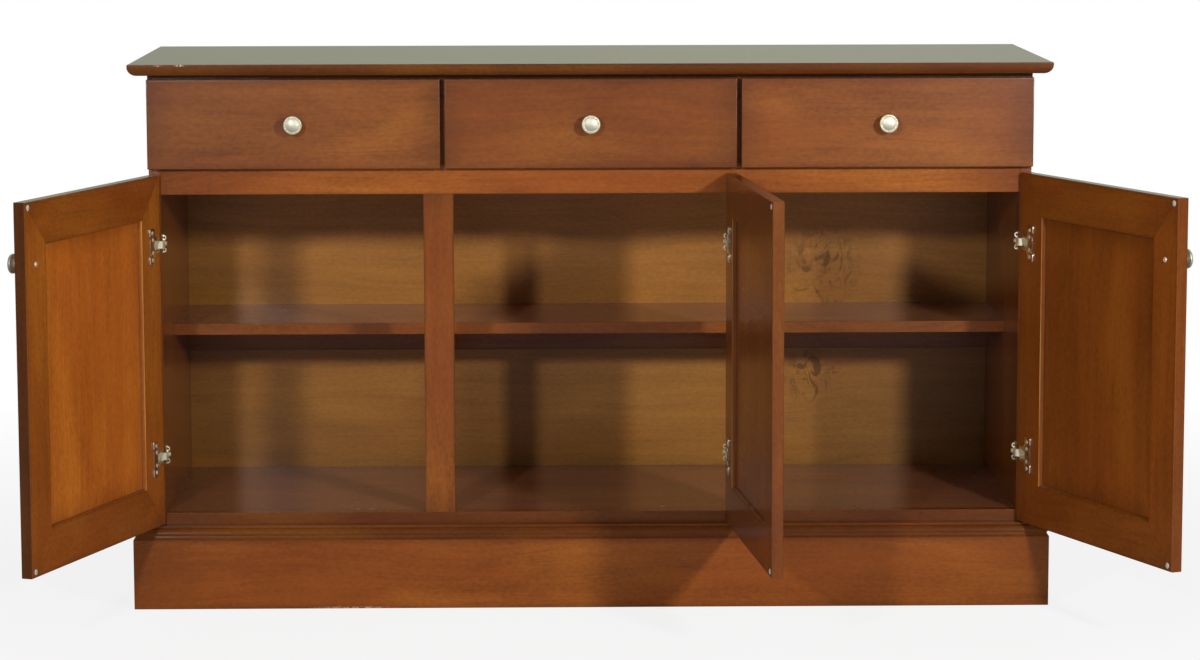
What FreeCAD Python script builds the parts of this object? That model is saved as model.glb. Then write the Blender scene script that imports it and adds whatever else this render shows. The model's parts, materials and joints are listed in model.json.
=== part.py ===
import FreeCAD, Part
import Sketcher
import math
import os

# Driving sizes, in millimetres and degrees
SIZES = {
    # case
    "case_width": 1468.0,
    "case_depth": 482.0,
    "full_height": 914.0,
    "panel_thickness": 19.0,
    "back_thickness": 6.0,
    "back_setback": 27.0,
    "groove_depth": 6.0,
    "groove_clearance": 0.3,
    "nailer_height": 89.0,
    "nailer_thickness": 18.0,
    # top board
    "top_thickness": 19.0,
    "top_side_overhang": 28.0,
    "top_front_lip": 30.0,
    "top_ovolo": 15.5,
    "top_arris": 1.5,
    # plinth and base cap
    "plinth_height": 117.0,
    "plinth_projection": 33.5,
    "plinth_thickness": 19.0,
    "plinth_arris": 1.5,
    "plinth_block": 60.0,
    "cap_height": 22.0,
    "cap_width": 75.0,
    "cap_ledge": 19.5,
    "cap_quirk_depth": 3.0,
    "cap_quirk_width": 1.5,
    "cap_nose": 31.5,
    "cap_nose_height": 10.0,
    "cap_cove_height": 8.5,
    "cap_cove_top": 30.0,
    "cap_fillet_height": 1.2,
    # face frame
    "frame_thickness": 19.0,
    "mid_stile_width": 50.0,
    "mid_opening_width": 458.0,
    "mid_stile_overlap": 13.167,
    "top_rail_height": 38.0,
    "drawer_opening_height": 112.0,
    "middle_rail_height": 50.0,
    "frame_arris": 0.8,
    # shelf
    "shelf_depth": 261.4,
    "shelf_thickness": 19.5,
    "shelf_height": 453.0,
    "shelf_arris": 1.0,
    "cleat_height": 61.0,
    "cleat_thickness": 19.0,
    # doors and drawer fronts
    "front_thickness": 19.0,
    "front_standoff": 2.0,
    "front_gap": 7.5,
    "front_arris": 1.6,
    "drawer_front_height": 148.0,
    "drawer_front_drop": 8.0,
    "door_gap_above": 10.0,
    "door_gap_below": 2.0,
    "member_width": 69.0,
    "bead_width": 3.0,
    "bead_step": 1.6,
    "panel_field_thickness": 6.0,
    "panel_groove_depth": 9.0,
    "panel_play": 0.3,
    # knobs
    "knob_radius": 15.5,
    "knob_projection": 25.0,
    "knob_base_radius": 8.5,
    "knob_base_height": 2.0,
    "knob_neck_radius": 6.0,
    "knob_neck_height": 9.0,
    "knob_rim_height": 4.0,
    "knob_ring_width": 2.6,
    "knob_groove_width": 1.0,
    "knob_groove_depth": 0.9,
    "knob_dome_rise": 2.2,
    "knob_bore_depth": 8.0,
    "knob_screw_radius": 2.0,
    "knob_screw_clearance": 0.3,
    "knob_screw_head_radius": 4.4,
    "knob_screw_head_height": 1.6,
    "door_knob_inset": 35.0,
    "door_knob_drop": 99.0,
    # door hinges
    "pivot_inset": 6.0,
    "pivot_depth": 11.0,
    "hinge_inset": 116.0,
    "pin_radius": 1.5,
    "pin_clearance": 0.05,
    "arm_height": 12.0,
    "arm_thickness": 3.0,
    "arm_eye_radius": 3.0,
    "arm_plate_height": 30.0,
    "arm_plate_thickness": 2.0,
    "arm_plate_margin": 2.0,
    "arm_slot_spacing": 20.0,
    "arm_slot_radius": 2.4,
    "arm_screw_radius": 3.6,
    "arm_screw_height": 3.0,
    "cup_wall": 1.2,
    "cup_clearance": 0.3,
    "cup_end_gap": 1.2,
    "flange_height": 60.0,
    "flange_reach": 38.0,
    "flange_thickness": 1.4,
    "flange_waist": 26.0,
    "flange_screw_spacing": 45.0,
    "flange_screw_reach": 26.0,
    "flange_screw_radius": 3.5,
    # bumpers
    "bumper_radius": 4.75,
    "bumper_height": 1.5,
    "bumper_inset": 12.0,
    "bumper_drop": 9.0,
    # open angles of the doors
    "left_door_angle": 109.2,
    "middle_door_angle": 95.7,
    "right_door_angle": 112.5,
    # drawer boxes
    "box_side_thickness": 12.0,
    "box_height": 94.0,
    "box_lift": 8.0,
    "box_depth": 420.0,
    "box_bottom_thickness": 6.0,
    "box_bottom_lift": 10.0,
    "box_groove_depth": 5.0,
    # drawer slides
    "slide_gap": 12.7,
    "slide_channel_height": 45.0,
    "slide_metal": 1.2,
    "slide_play": 0.3,
    "slide_lip_gap": 2.0,
    "slide_channel_length": 430.0,
    "slide_member_length": 400.0,
    "slide_setback": 3.0,
    "guide_height": 60.0,
    # cutting tools run past what they cut
    "overrun": 1.0,
}

doc = FreeCAD.newDocument("sideboard")


class Size:
    """A length that knows both its value and the sheet expression that gives it."""

    def __init__(self, text, value):
        self.text = text
        self.value = value

    def __add__(self, other):
        other = as_size(other)
        return Size(f"({self.text} + {other.text})", self.value + other.value)

    def __sub__(self, other):
        other = as_size(other)
        return Size(f"({self.text} - {other.text})", self.value - other.value)

    def __mul__(self, other):
        other = as_size(other)
        return Size(f"({self.text} * {other.text})", self.value * other.value)

    def __truediv__(self, other):
        other = as_size(other)
        return Size(f"({self.text} / {other.text})", self.value / other.value)

    def __neg__(self):
        return Size(f"(0 - {self.text})", -self.value)

    def __lt__(self, other):
        return self.value < as_size(other).value


def as_size(value):
    return value if isinstance(value, Size) else Size(str(value), value)


def make_sheet():
    sheet = doc.addObject("Spreadsheet::Sheet", "dims")
    for row, (alias, value) in enumerate(SIZES.items(), start=1):
        sheet.set(f"A{row}", alias)
        sheet.set(f"B{row}", str(value))
        sheet.setAlias(f"B{row}", alias)
    doc.recompute()
    return sheet


sheet = make_sheet()


def size(alias):
    return Size(f"dims.{alias}", sheet.get(alias))


ZERO = Size("0", 0.0)
OVERRUN = size("overrun")

# Levels and planes that several pieces share, from the plinth's footprint centre on the floor
HALF_CASE = size("case_width") / 2
FRAME_FRONT = (size("plinth_projection") - size("case_depth")) / 2
FRAME_BACK = FRAME_FRONT + size("frame_thickness")
CASE_BACK = FRAME_FRONT + size("case_depth")
BACK_FACE = CASE_BACK - size("back_setback")
BACK_REAR = BACK_FACE + size("back_thickness")
HALF_INSIDE = HALF_CASE - size("panel_thickness")
PLINTH_FRONT = FRAME_FRONT - size("plinth_projection")
PLINTH_HALF = HALF_CASE + size("plinth_projection")
CASE_FLOOR = size("plinth_height") + size("cap_height")
INSIDE_FLOOR = CASE_FLOOR + size("panel_thickness")
TOP_UNDER = size("full_height") - size("top_thickness")
DRAWER_TOP = TOP_UNDER - size("top_rail_height")
DRAWER_SILL = DRAWER_TOP - size("drawer_opening_height")
DOOR_HEAD = DRAWER_SILL - size("middle_rail_height")
MID_INNER = size("mid_opening_width") / 2
MID_OUTER = MID_INNER + size("mid_stile_width")
FRONT_BACK = FRAME_FRONT - size("front_standoff")
FRONT_FACE = FRONT_BACK - size("front_thickness")
MIDDLE_FRONT_WIDTH = size("mid_opening_width") + size("mid_stile_overlap") * 2
END_FRONT_WIDTH = HALF_CASE - MIDDLE_FRONT_WIDTH / 2 - size("front_gap")
END_FRONT_CENTRE = HALF_CASE - END_FRONT_WIDTH / 2
DRAWER_FRONT_TOP = TOP_UNDER - size("drawer_front_drop")
DRAWER_FRONT_LOW = DRAWER_FRONT_TOP - size("drawer_front_height")
DOOR_TOP = DRAWER_FRONT_LOW - size("door_gap_above")
DOOR_LOW = CASE_FLOOR + size("door_gap_below")
DOOR_HEIGHT = DOOR_TOP - DOOR_LOW
PIVOT_Y = FRONT_BACK - size("pivot_depth")

# Centre and width of the drawer front and the door in each bay
FRONTS = {
    "left": (-END_FRONT_CENTRE, END_FRONT_WIDTH),
    "middle": (ZERO, MIDDLE_FRONT_WIDTH),
    "right": (END_FRONT_CENTRE, END_FRONT_WIDTH),
}

parts = []


def bind(target, name, length):
    target.setExpression(name, length.text)


def keep(target, label):
    target.Label = label
    parts.append(target)
    return target


# Building blocks: boxes, cylinders, joined groups, sketches and bodies


def box(name, x, y, z):
    """A board between two x, two y and two z planes."""
    low_x, high_x = sorted(x)
    low_y, high_y = sorted(y)
    low_z, high_z = sorted(z)
    board = doc.addObject("Part::Box", name)
    bind(board, "Length", high_x - low_x)
    bind(board, "Width", high_y - low_y)
    bind(board, "Height", high_z - low_z)
    bind(board, ".Placement.Base.x", low_x)
    bind(board, ".Placement.Base.y", low_y)
    bind(board, ".Placement.Base.z", low_z)
    return board


def cylinder(name, radius, length, x, y, z, direction):
    """A round bar that starts at a point and runs along a direction."""
    bar = doc.addObject("Part::Cylinder", name)
    bar.Placement.Rotation = FreeCAD.Rotation(FreeCAD.Vector(0, 0, 1), direction)
    bind(bar, "Radius", radius)
    bind(bar, "Height", length)
    bind(bar, ".Placement.Base.x", x)
    bind(bar, ".Placement.Base.y", y)
    bind(bar, ".Placement.Base.z", z)
    return bar


def group(name, members):
    """Separate solids that share one node."""
    joined = doc.addObject("Part::Compound", name)
    joined.Links = members
    return joined


def fuse(name, members):
    joined = doc.addObject("Part::MultiFuse", name)
    joined.Shapes = members
    joined.Refine = True
    return joined


def cut(name, base, tools):
    """Takes one or more tools away from a base."""
    tool = tools[0] if len(tools) == 1 else group(name + "_tools", tools)
    result = doc.addObject("Part::Cut", name)
    result.Base = base
    result.Tool = tool
    return result


def origin_plane(body, role):
    return next(item for item in body.Origin.OriginFeatures if item.Role == role)


def new_body(name):
    return doc.addObject("PartDesign::Body", name)


def new_sketch(body, name, role):
    sketch = body.newObject("Sketcher::SketchObject", name)
    sketch.AttachmentSupport = [(origin_plane(body, role), "")]
    sketch.MapMode = "FlatFace"
    return sketch


def arc_between(start, end, radius, left):
    """Arc geometry from start to end; its centre is left or right of the chord."""
    chord = end - start
    half = chord.Length / 2
    rise = math.sqrt(max(radius ** 2 - half ** 2, 0))
    side = FreeCAD.Vector(-chord.y, chord.x, 0).normalize()
    centre = (start + end) / 2 + side * (rise if left else -rise)
    first, last = (start, end) if left else (end, start)
    circle = Part.Circle(centre, FreeCAD.Vector(0, 0, 1), radius)
    begin = math.atan2(first.y - centre.y, first.x - centre.x)
    finish = math.atan2(last.y - centre.y, last.x - centre.x)
    if finish < begin:
        finish += 2 * math.pi
    return Part.ArcOfCircle(circle, begin, finish)


def draw_outline(sketch, corners):
    """Closed outline. A corner is (x, y), or (x, y, radius, left) where an arc leads to the next corner."""
    points = [FreeCAD.Vector(corner[0].value, corner[1].value, 0) for corner in corners]
    starts = []
    for index, corner in enumerate(corners):
        here = points[index]
        there = points[(index + 1) % len(points)]
        if len(corner) == 2:
            line = sketch.addGeometry(Part.LineSegment(here, there), False)
            starts.append((line, 1, 2))
        else:
            radius, left = corner[2], corner[3]
            arc = sketch.addGeometry(arc_between(here, there, radius.value, left), False)
            starts.append((arc, 1, 2) if left else (arc, 2, 1))
            rule = sketch.addConstraint(Sketcher.Constraint("Radius", arc, radius.value))
            sketch.setExpression(f"Constraints[{rule}]", radius.text)
    for index, (edge, begin, _) in enumerate(starts):
        before, _, finish = starts[index - 1]
        sketch.addConstraint(Sketcher.Constraint("Coincident", before, finish, edge, begin))
        for kind, place in zip(("DistanceX", "DistanceY"), corners[index][:2]):
            rule = sketch.addConstraint(Sketcher.Constraint(kind, -1, 1, edge, begin, place.value))
            sketch.setExpression(f"Constraints[{rule}]", place.text)


def draw_circle(sketch, x, y, radius):
    centre = FreeCAD.Vector(x.value, y.value, 0)
    ring = sketch.addGeometry(Part.Circle(centre, FreeCAD.Vector(0, 0, 1), radius.value), False)
    rule = sketch.addConstraint(Sketcher.Constraint("Radius", ring, radius.value))
    sketch.setExpression(f"Constraints[{rule}]", radius.text)
    for kind, place in zip(("DistanceX", "DistanceY"), (x, y)):
        rule = sketch.addConstraint(Sketcher.Constraint(kind, -1, 1, ring, 3, place.value))
        sketch.setExpression(f"Constraints[{rule}]", place.text)


def rectangle(low_x, high_x, low_y, high_y):
    return [(low_x, low_y), (high_x, low_y), (high_x, high_y), (low_x, high_y)]


def extrude(body, name, role, start, length, corners):
    """Pads an outline along its plane's normal, from a distance off the plane."""
    sketch = new_sketch(body, name + "_outline", role)
    sketch.setExpression(".AttachmentOffset.Base.z", start.text)
    draw_outline(sketch, corners)
    pad = body.newObject("PartDesign::Pad", name)
    pad.Profile = sketch
    bind(pad, "Length", length)
    return pad


def carve(body, name, role, start, length, outlines=(), circles=()):
    """Pockets outlines and circles along the plane's normal, and checks that material went."""
    doc.recompute()
    before = body.Shape.Volume
    sketch = new_sketch(body, name + "_outline", role)
    sketch.setExpression(".AttachmentOffset.Base.z", start.text)
    for corners in outlines:
        draw_outline(sketch, corners)
    for x, y, radius in circles:
        draw_circle(sketch, x, y, radius)
    pocket = body.newObject("PartDesign::Pocket", name)
    pocket.Profile = sketch
    pocket.Reversed = True
    bind(pocket, "Length", length)
    doc.recompute()
    if not body.Shape.Volume < before:
        raise RuntimeError(f"{name} takes nothing away")
    return pocket


def soften(body, name, radius, chosen):
    """Rounds the body's edges whose centre passes a test."""
    doc.recompute()
    edges = [f"Edge{number}" for number, edge in enumerate(body.Shape.Edges, start=1)
             if chosen(edge.CenterOfMass)]
    base = body.Tip
    fillet = body.newObject("PartDesign::Fillet", name)
    fillet.Base = (base, edges)
    bind(fillet, "Radius", radius)
    return fillet


def near(value, place):
    return abs(value - place.value) < size("groove_clearance").value / 10


def turned(x_axis, y_axis, z_axis):
    return FreeCAD.Rotation(FreeCAD.Vector(x_axis), FreeCAD.Vector(y_axis), FreeCAD.Vector(z_axis), "XYZ")


def place(target, x, y, z, rotation=FreeCAD.Rotation()):
    target.Placement.Rotation = rotation
    bind(target, ".Placement.Base.x", x)
    bind(target, ".Placement.Base.y", y)
    bind(target, ".Placement.Base.z", z)
    return target


def tangent_radius(run, rise):
    """Radius of an arc over a run and a rise that leaves square to the run."""
    return (run * run + rise * rise) / (run * 2)


def mitred_bar(name, corners, length, depth, height, mitre_start, mitre_end):
    """A bar along X with its outer edge at Y zero, cut at 45 degrees where it meets its neighbours."""
    bar = new_body(name)
    extrude(bar, name + "_length", "YZ_Plane", ZERO, length, corners)
    far = depth + OVERRUN
    wedges = []
    if mitre_start:
        wedges.append([(-OVERRUN, -OVERRUN), (far, far), (-OVERRUN, far)])
    if mitre_end:
        wedges.append([(length + OVERRUN, -OVERRUN), (length + OVERRUN, far), (length - far, far)])
    through = height + OVERRUN * 2
    carve(bar, name + "_mitres", "XY_Plane", -OVERRUN, through, outlines=wedges)
    return bar


# Rotations of a mitred bar: where its length, its inward side and its third side point
ALONG_X = turned((1, 0, 0), (0, 1, 0), (0, 0, 1))
INWARD_FROM_RIGHT = turned((0, 1, 0), (-1, 0, 0), (0, 0, 1))
INWARD_FROM_LEFT = turned((0, -1, 0), (1, 0, 0), (0, 0, 1))
STANDING_LEFT = turned((0, 0, 1), (1, 0, 0), (0, 1, 0))
STANDING_RIGHT = turned((0, 0, -1), (-1, 0, 0), (0, 1, 0))
LYING_LOW = turned((-1, 0, 0), (0, 0, 1), (0, 1, 0))
LYING_HIGH = turned((1, 0, 0), (0, 0, -1), (0, 1, 0))
TURNED_OVER = turned((-1, 0, 0), (0, 1, 0), (0, 0, -1))
OUTWARD = FreeCAD.Vector(0, -1, 0)
INWARD = FreeCAD.Vector(0, 1, 0)
UPWARD = FreeCAD.Vector(0, 0, 1)
RIGHTWARD = FreeCAD.Vector(1, 0, 0)


# Top board


def make_top_board():
    half = HALF_CASE + size("top_side_overhang")
    front = FRONT_FACE - size("top_front_lip")
    board = new_body("top_board")
    extrude(board, "top_slab", "XY_Plane", TOP_UNDER, size("top_thickness"),
            rectangle(-half, half, front, CASE_BACK))

    def at_rim(centre):
        return near(centre.y, front) or near(centre.x, half) or near(centre.x, -half)

    soften(board, "top_ovolo_edge", size("top_ovolo"),
           lambda centre: at_rim(centre) and near(centre.z, TOP_UNDER))
    soften(board, "top_arris_edge", size("top_arris"),
           lambda centre: at_rim(centre) and near(centre.z, size("full_height")))
    keep(board, "top_board")


# Case


def make_side_panel(side, hand):
    inner = HALF_INSIDE * hand
    outer = HALF_CASE * hand
    groove = (HALF_INSIDE + size("groove_depth")) * hand
    play = size("groove_clearance")
    shelf_under = size("shelf_height") - size("shelf_thickness")
    shelf_front = BACK_FACE - size("shelf_depth")
    groove_x = (inner - OVERRUN * hand, groove)
    board = box(side + "_side_board", (inner, outer), (FRAME_BACK, CASE_BACK), (CASE_FLOOR, TOP_UNDER))
    back_groove = box(side + "_back_groove", groove_x, (BACK_FACE - play, BACK_REAR + play),
                      (CASE_FLOOR - OVERRUN, TOP_UNDER + OVERRUN))
    shelf_groove = box(side + "_shelf_groove", groove_x, (shelf_front - play, BACK_FACE),
                       (shelf_under, size("shelf_height") + play))
    keep(cut(side + "_side_panel", board, [back_groove, shelf_groove]), side + "_side_panel")


def make_case():
    inside = (-HALF_INSIDE, HALF_INSIDE)
    housed = HALF_INSIDE + size("groove_depth") - size("groove_clearance")
    for side, hand in (("left", -1), ("right", 1)):
        make_side_panel(side, hand)
    back = box("back_board", (-housed, housed), (BACK_FACE, BACK_REAR), (CASE_FLOOR, TOP_UNDER))
    keep(back, "back_panel")
    floor = box("floor_board", inside, (FRAME_BACK, BACK_FACE), (CASE_FLOOR, INSIDE_FLOOR))
    keep(floor, "floor_panel")
    nailer_y = (BACK_REAR, BACK_REAR + size("nailer_thickness"))
    lower = box("lower_back_rail", inside, nailer_y, (CASE_FLOOR, CASE_FLOOR + size("nailer_height")))
    upper = box("upper_back_rail", inside, nailer_y, (TOP_UNDER - size("nailer_height"), TOP_UNDER))
    keep(group("back_rail_pair", [lower, upper]), "back_rails")


def make_shelf():
    housed = HALF_INSIDE + size("groove_depth") - size("groove_clearance")
    under = size("shelf_height") - size("shelf_thickness")
    front = BACK_FACE - size("shelf_depth")
    board = new_body("shelf_board")
    extrude(board, "shelf_slab", "XY_Plane", under, size("shelf_thickness"),
            rectangle(-housed, housed, front, BACK_FACE))
    soften(board, "shelf_front_edge", size("shelf_arris"),
           lambda centre: near(centre.y, front) and near(centre.x, ZERO))
    keep(board, "shelf")
    cleat_y = (BACK_FACE - size("cleat_thickness"), BACK_FACE)
    cleat = box("cleat_board", (-HALF_INSIDE, HALF_INSIDE), cleat_y, (under - size("cleat_height"), under))
    keep(cleat, "shelf_cleat")


# Face frame


def frame_board(label, x, z, eased_x=(), eased_z=()):
    """A frame member with its front edges eased where they border an opening."""
    low_x, high_x = sorted(x)
    low_z, high_z = sorted(z)
    board = new_body(label + "_board")
    extrude(board, label + "_slab", "XZ_Plane", -FRAME_BACK, size("frame_thickness"),
            rectangle(low_x, high_x, low_z, high_z))

    def borders_opening(centre):
        beside = any(near(centre.x, edge) for edge in eased_x)
        above = any(near(centre.z, edge) for edge in eased_z)
        return near(centre.y, FRAME_FRONT) and (beside or above)

    if eased_x or eased_z:
        soften(board, label + "_arris", size("frame_arris"), borders_opening)
    return board


def make_face_frame():
    inside = (-HALF_INSIDE, HALF_INSIDE)
    keep(frame_board("top_rail", inside, (DRAWER_TOP, TOP_UNDER), eased_z=[DRAWER_TOP]), "top_rail")
    middle_z = (DOOR_HEAD, DRAWER_SILL)
    keep(frame_board("middle_rail", inside, middle_z, eased_z=middle_z), "middle_rail")
    keep(frame_board("bottom_rail", inside, (CASE_FLOOR, INSIDE_FLOOR)), "bottom_rail")
    whole_z = (CASE_FLOOR, TOP_UNDER)
    lower_z = (INSIDE_FLOOR, DOOR_HEAD)
    upper_z = (DRAWER_SILL, DRAWER_TOP)
    uprights = []
    for side, hand in (("left", -1), ("right", 1)):
        end = (HALF_INSIDE * hand, HALF_CASE * hand)
        middle = (MID_INNER * hand, MID_OUTER * hand)
        keep(frame_board(side + "_end_stile", end, whole_z, eased_x=end), side + "_end_stile")
        keep(frame_board(side + "_mid_stile", middle, lower_z, eased_x=middle), side + "_mid_stile")
        uprights.append(frame_board(side + "_drawer_stile", middle, upper_z, eased_x=middle))
    keep(group("drawer_stile_pair", uprights), "drawer_stiles")


# Plinth and base cap


def cap_profile():
    """Section of the base cap: depth in from its outer edge, height over the plinth."""
    outer = size("plinth_projection")
    ledge = outer - size("cap_ledge")
    quirk = ledge - size("cap_quirk_width")
    nose = outer - size("cap_nose")
    cove = outer - size("cap_cove_top")
    top = size("cap_height")
    step = top - size("cap_quirk_depth")
    nose_z = size("cap_nose_height")
    cove_z = size("cap_cove_height")
    foot_z = size("cap_fillet_height")
    ovolo = tangent_radius(quirk - nose, step - nose_z)
    hollow = tangent_radius(cove, cove_z - foot_z)
    inner = size("cap_width")
    return [(ZERO, ZERO), (inner, ZERO), (inner, top), (ledge, top), (ledge, step),
            (quirk, step, ovolo, True), (nose, nose_z), (nose, cove_z),
            (cove, cove_z, hollow, False), (ZERO, foot_z)]


def plinth_profile():
    """Section of a plinth board with its lower outer edge eased."""
    arris = size("plinth_arris")
    thick = size("plinth_thickness")
    return [(arris, ZERO), (thick, ZERO), (thick, size("plinth_height")), (ZERO, size("plinth_height")),
            (ZERO, arris, arris, True)]


def make_surround(kind, profile, depth, height, base):
    """Front, left and right bars that meet in mitres at the two front corners."""
    width = PLINTH_HALF * 2
    run = CASE_BACK - PLINTH_FRONT
    front = mitred_bar(kind + "_front_bar", profile, width, depth, height, True, True)
    right = mitred_bar(kind + "_right_bar", profile, run, depth, height, True, False)
    left = mitred_bar(kind + "_left_bar", profile, run, depth, height, False, True)
    keep(place(front, -PLINTH_HALF, PLINTH_FRONT, base, ALONG_X), kind + "_front")
    keep(place(right, PLINTH_HALF, PLINTH_FRONT, base, INWARD_FROM_RIGHT), kind + "_right")
    keep(place(left, -PLINTH_HALF, CASE_BACK, base, INWARD_FROM_LEFT), kind + "_left")


def make_plinth():
    thick = size("plinth_thickness")
    high = size("plinth_height")
    inner_x = PLINTH_HALF - thick
    inner_y = PLINTH_FRONT + thick
    make_surround("plinth", plinth_profile(), thick, high, ZERO)
    make_surround("base_cap", cap_profile(), size("cap_width"), size("cap_height"), high)
    back_y = (CASE_BACK - thick, CASE_BACK)
    keep(box("plinth_back_board", (-inner_x, inner_x), back_y, (ZERO, high)), "plinth_back")
    cap_end = PLINTH_HALF - size("cap_width")
    cap_y = (CASE_BACK - size("cap_width"), CASE_BACK)
    braces = [
        box("plinth_centre", (-thick / 2, thick / 2), (inner_y, CASE_BACK - thick), (ZERO, high)),
        box("cap_back_board", (-cap_end, cap_end), cap_y, (high, CASE_FLOOR)),
    ]
    leg = size("plinth_block")
    for side, hand in (("left", -1), ("right", 1)):
        block = new_body(side + "_corner_block")
        corner = inner_x * hand
        outline = [(corner, inner_y), (corner - leg * hand, inner_y), (corner, inner_y + leg)]
        extrude(block, side + "_block", "XY_Plane", ZERO, high, outline)
        braces.append(block)
    keep(group("plinth_brace_set", braces), "plinth_braces")


# Knobs


def make_knob(name):
    """Mushroom knob about the Y axis, its foot at Y zero and its dome towards minus Y."""
    radius = size("knob_radius")
    reach = size("knob_projection")
    bore = size("knob_screw_radius") + size("knob_screw_clearance")
    foot = size("knob_base_radius")
    foot_z = size("knob_base_height")
    neck = size("knob_neck_radius")
    neck_z = size("knob_neck_height")
    rim_z = reach - size("knob_dome_rise")
    under_z = rim_z - size("knob_rim_height")
    round_edge = size("knob_rim_height") / 3
    ring = radius - size("knob_ring_width")
    dome = ring - size("knob_groove_width")
    groove_z = rim_z - size("knob_groove_depth")
    flare = tangent_radius(radius - neck, under_z - neck_z)
    crown = tangent_radius(size("knob_dome_rise"), dome)
    knob = new_body(name)
    sketch = new_sketch(knob, name + "_section", "XY_Plane")
    draw_outline(sketch, [
        (bore, ZERO), (bore, -size("knob_bore_depth")), (ZERO, -size("knob_bore_depth")),
        (ZERO, -reach, crown, True), (dome, -rim_z), (dome, -groove_z), (ring, -groove_z),
        (ring, -rim_z), (radius - round_edge, -rim_z, round_edge, True), (radius, round_edge - rim_z),
        (radius, -under_z, flare, False), (neck, -neck_z), (neck, -foot_z * 2), (foot, -foot_z),
        (foot, ZERO)])
    turn = knob.newObject("PartDesign::Revolution", name + "_turning")
    turn.Profile = sketch
    turn.ReferenceAxis = (sketch, ["V_Axis"])
    turn.Angle = 360.0
    return knob


def make_knob_screw(name, x, head_y, z, grip):
    """Pan-headed screw whose shank passes outward through the wood into the knob."""
    head_height = size("knob_screw_head_height")
    reach = grip + size("knob_bore_depth") - head_height
    head = cylinder(name + "_head", size("knob_screw_head_radius"), head_height, x, head_y, z, INWARD)
    shank = cylinder(name + "_shank", size("knob_screw_radius"), reach, x, head_y, z, OUTWARD)
    return fuse(name, [head, shank])


# Drawers


def slide_strip(name, wall, hand, depth, y, height, half):
    """C-shaped steel strip: its web lies on a wall and its lips point away from it."""
    metal = size("slide_metal")
    strip = box(name + "_strip", (wall, wall + depth * hand), y, (height - half, height + half))
    hollow_x = (wall + metal * hand, wall + (depth + OVERRUN) * hand)
    hollow_y = (y[0] - OVERRUN, y[1] + OVERRUN)
    hollow_z = (height - half + metal, height + half - metal)
    return cut(name, strip, [box(name + "_hollow", hollow_x, hollow_y, hollow_z)])


def make_drawer_front(side, knob_z, bore):
    """Slab with an eased rim and a hole for the knob's screw."""
    centre, width = FRONTS[side]
    thick = size("front_thickness")
    front = new_body(side + "_drawer_slab")
    extrude(front, side + "_drawer_face", "XZ_Plane", -FRONT_BACK, thick,
            rectangle(centre - width / 2, centre + width / 2, DRAWER_FRONT_LOW, DRAWER_FRONT_TOP))
    carve(front, side + "_drawer_knob_hole", "XZ_Plane", -FRONT_BACK - OVERRUN, thick + OVERRUN * 2,
          circles=[(centre, knob_z, bore)])

    def at_rim(spot):
        return near(spot.y, FRONT_FACE) and not (near(spot.x, centre) and near(spot.z, knob_z))

    soften(front, side + "_drawer_arris", size("front_arris"), at_rim)
    keep(front, side + "_drawer_front")


def make_drawer(side, low_x, high_x, channels):
    """Front, box, bottom, knob and slides of one drawer between two walls of its opening."""
    centre = FRONTS[side][0]
    gap = size("slide_gap")
    box_low = low_x + gap
    box_high = high_x - gap
    wood = size("box_side_thickness")
    base = DRAWER_SILL + size("box_lift")
    top = base + size("box_height")
    box_back = FRONT_BACK + size("box_depth")
    knob_z = (DRAWER_FRONT_TOP + DRAWER_FRONT_LOW) / 2
    bore = size("knob_screw_radius") + size("knob_screw_clearance")
    make_drawer_front(side, knob_z, bore)

    bottom_z = base + size("box_bottom_lift")
    bottom_top = bottom_z + size("box_bottom_thickness")
    play = size("groove_clearance")
    tongue = size("box_groove_depth")
    inner_front = FRONT_BACK + wood
    inner_low = box_low + wood
    inner_high = box_high - wood
    inner_x = (inner_low, inner_high)
    whole_y = (FRONT_BACK, box_back)
    back_board = box(side + "_box_back", inner_x, (box_back - wood, box_back), (bottom_top, top))
    front_board = box(side + "_box_front", inner_x, (FRONT_BACK, inner_front), (base, top))
    left_board = box(side + "_box_left", (box_low, inner_low), whole_y, (base, top))
    right_board = box(side + "_box_right", (inner_high, box_high), whole_y, (base, top))
    groove = box(side + "_box_groove", (inner_low - tongue, inner_high + tongue),
                 (inner_front - tongue, box_back + OVERRUN), (bottom_z, bottom_top))
    hole_start = FRONT_BACK - OVERRUN
    hole = cylinder(side + "_box_hole", bore, wood + OVERRUN * 2, centre, hole_start, knob_z, INWARD)
    boards = group(side + "_box_boards", [left_board, right_board, front_board, back_board])
    keep(cut(side + "_box", boards, [groove, hole]), side + "_drawer_box")

    slip = tongue - play
    bottom = box(side + "_bottom_board", (inner_low - slip, inner_high + slip),
                 (inner_front - slip, box_back), (bottom_z, bottom_top))
    keep(bottom, side + "_drawer_bottom")

    grip = wood + size("front_thickness")
    knob = place(make_knob(side + "_drawer_knob_turned"), centre, FRONT_FACE, knob_z)
    screw = make_knob_screw(side + "_drawer_screw", centre, inner_front, knob_z, grip)
    keep(group(side + "_drawer_knob_set", [knob, screw]), side + "_drawer_knob")

    slide_z = (base + top) / 2
    outer_half = size("slide_channel_height") / 2
    inner_half = outer_half - size("slide_metal") - size("slide_play")
    start = FRAME_FRONT + size("slide_setback")
    channel_y = (start, start + size("slide_channel_length"))
    member_y = (start, start + size("slide_member_length"))
    channel_depth = gap - size("slide_lip_gap")
    member_depth = gap - size("slide_metal") - size("slide_play") * 2
    members = []
    for end, wall, edge, hand in (("left", low_x, box_low, 1), ("right", high_x, box_high, -1)):
        name = f"{side}_drawer_{end}"
        channel = slide_strip(name + "_channel", wall, hand, channel_depth, channel_y, slide_z, outer_half)
        channels.append(channel)
        member = slide_strip(name + "_member", edge, -hand, member_depth, member_y, slide_z, inner_half)
        members.append(member)
    keep(group(side + "_drawer_member_pair", members), side + "_drawer_slides")


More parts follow.
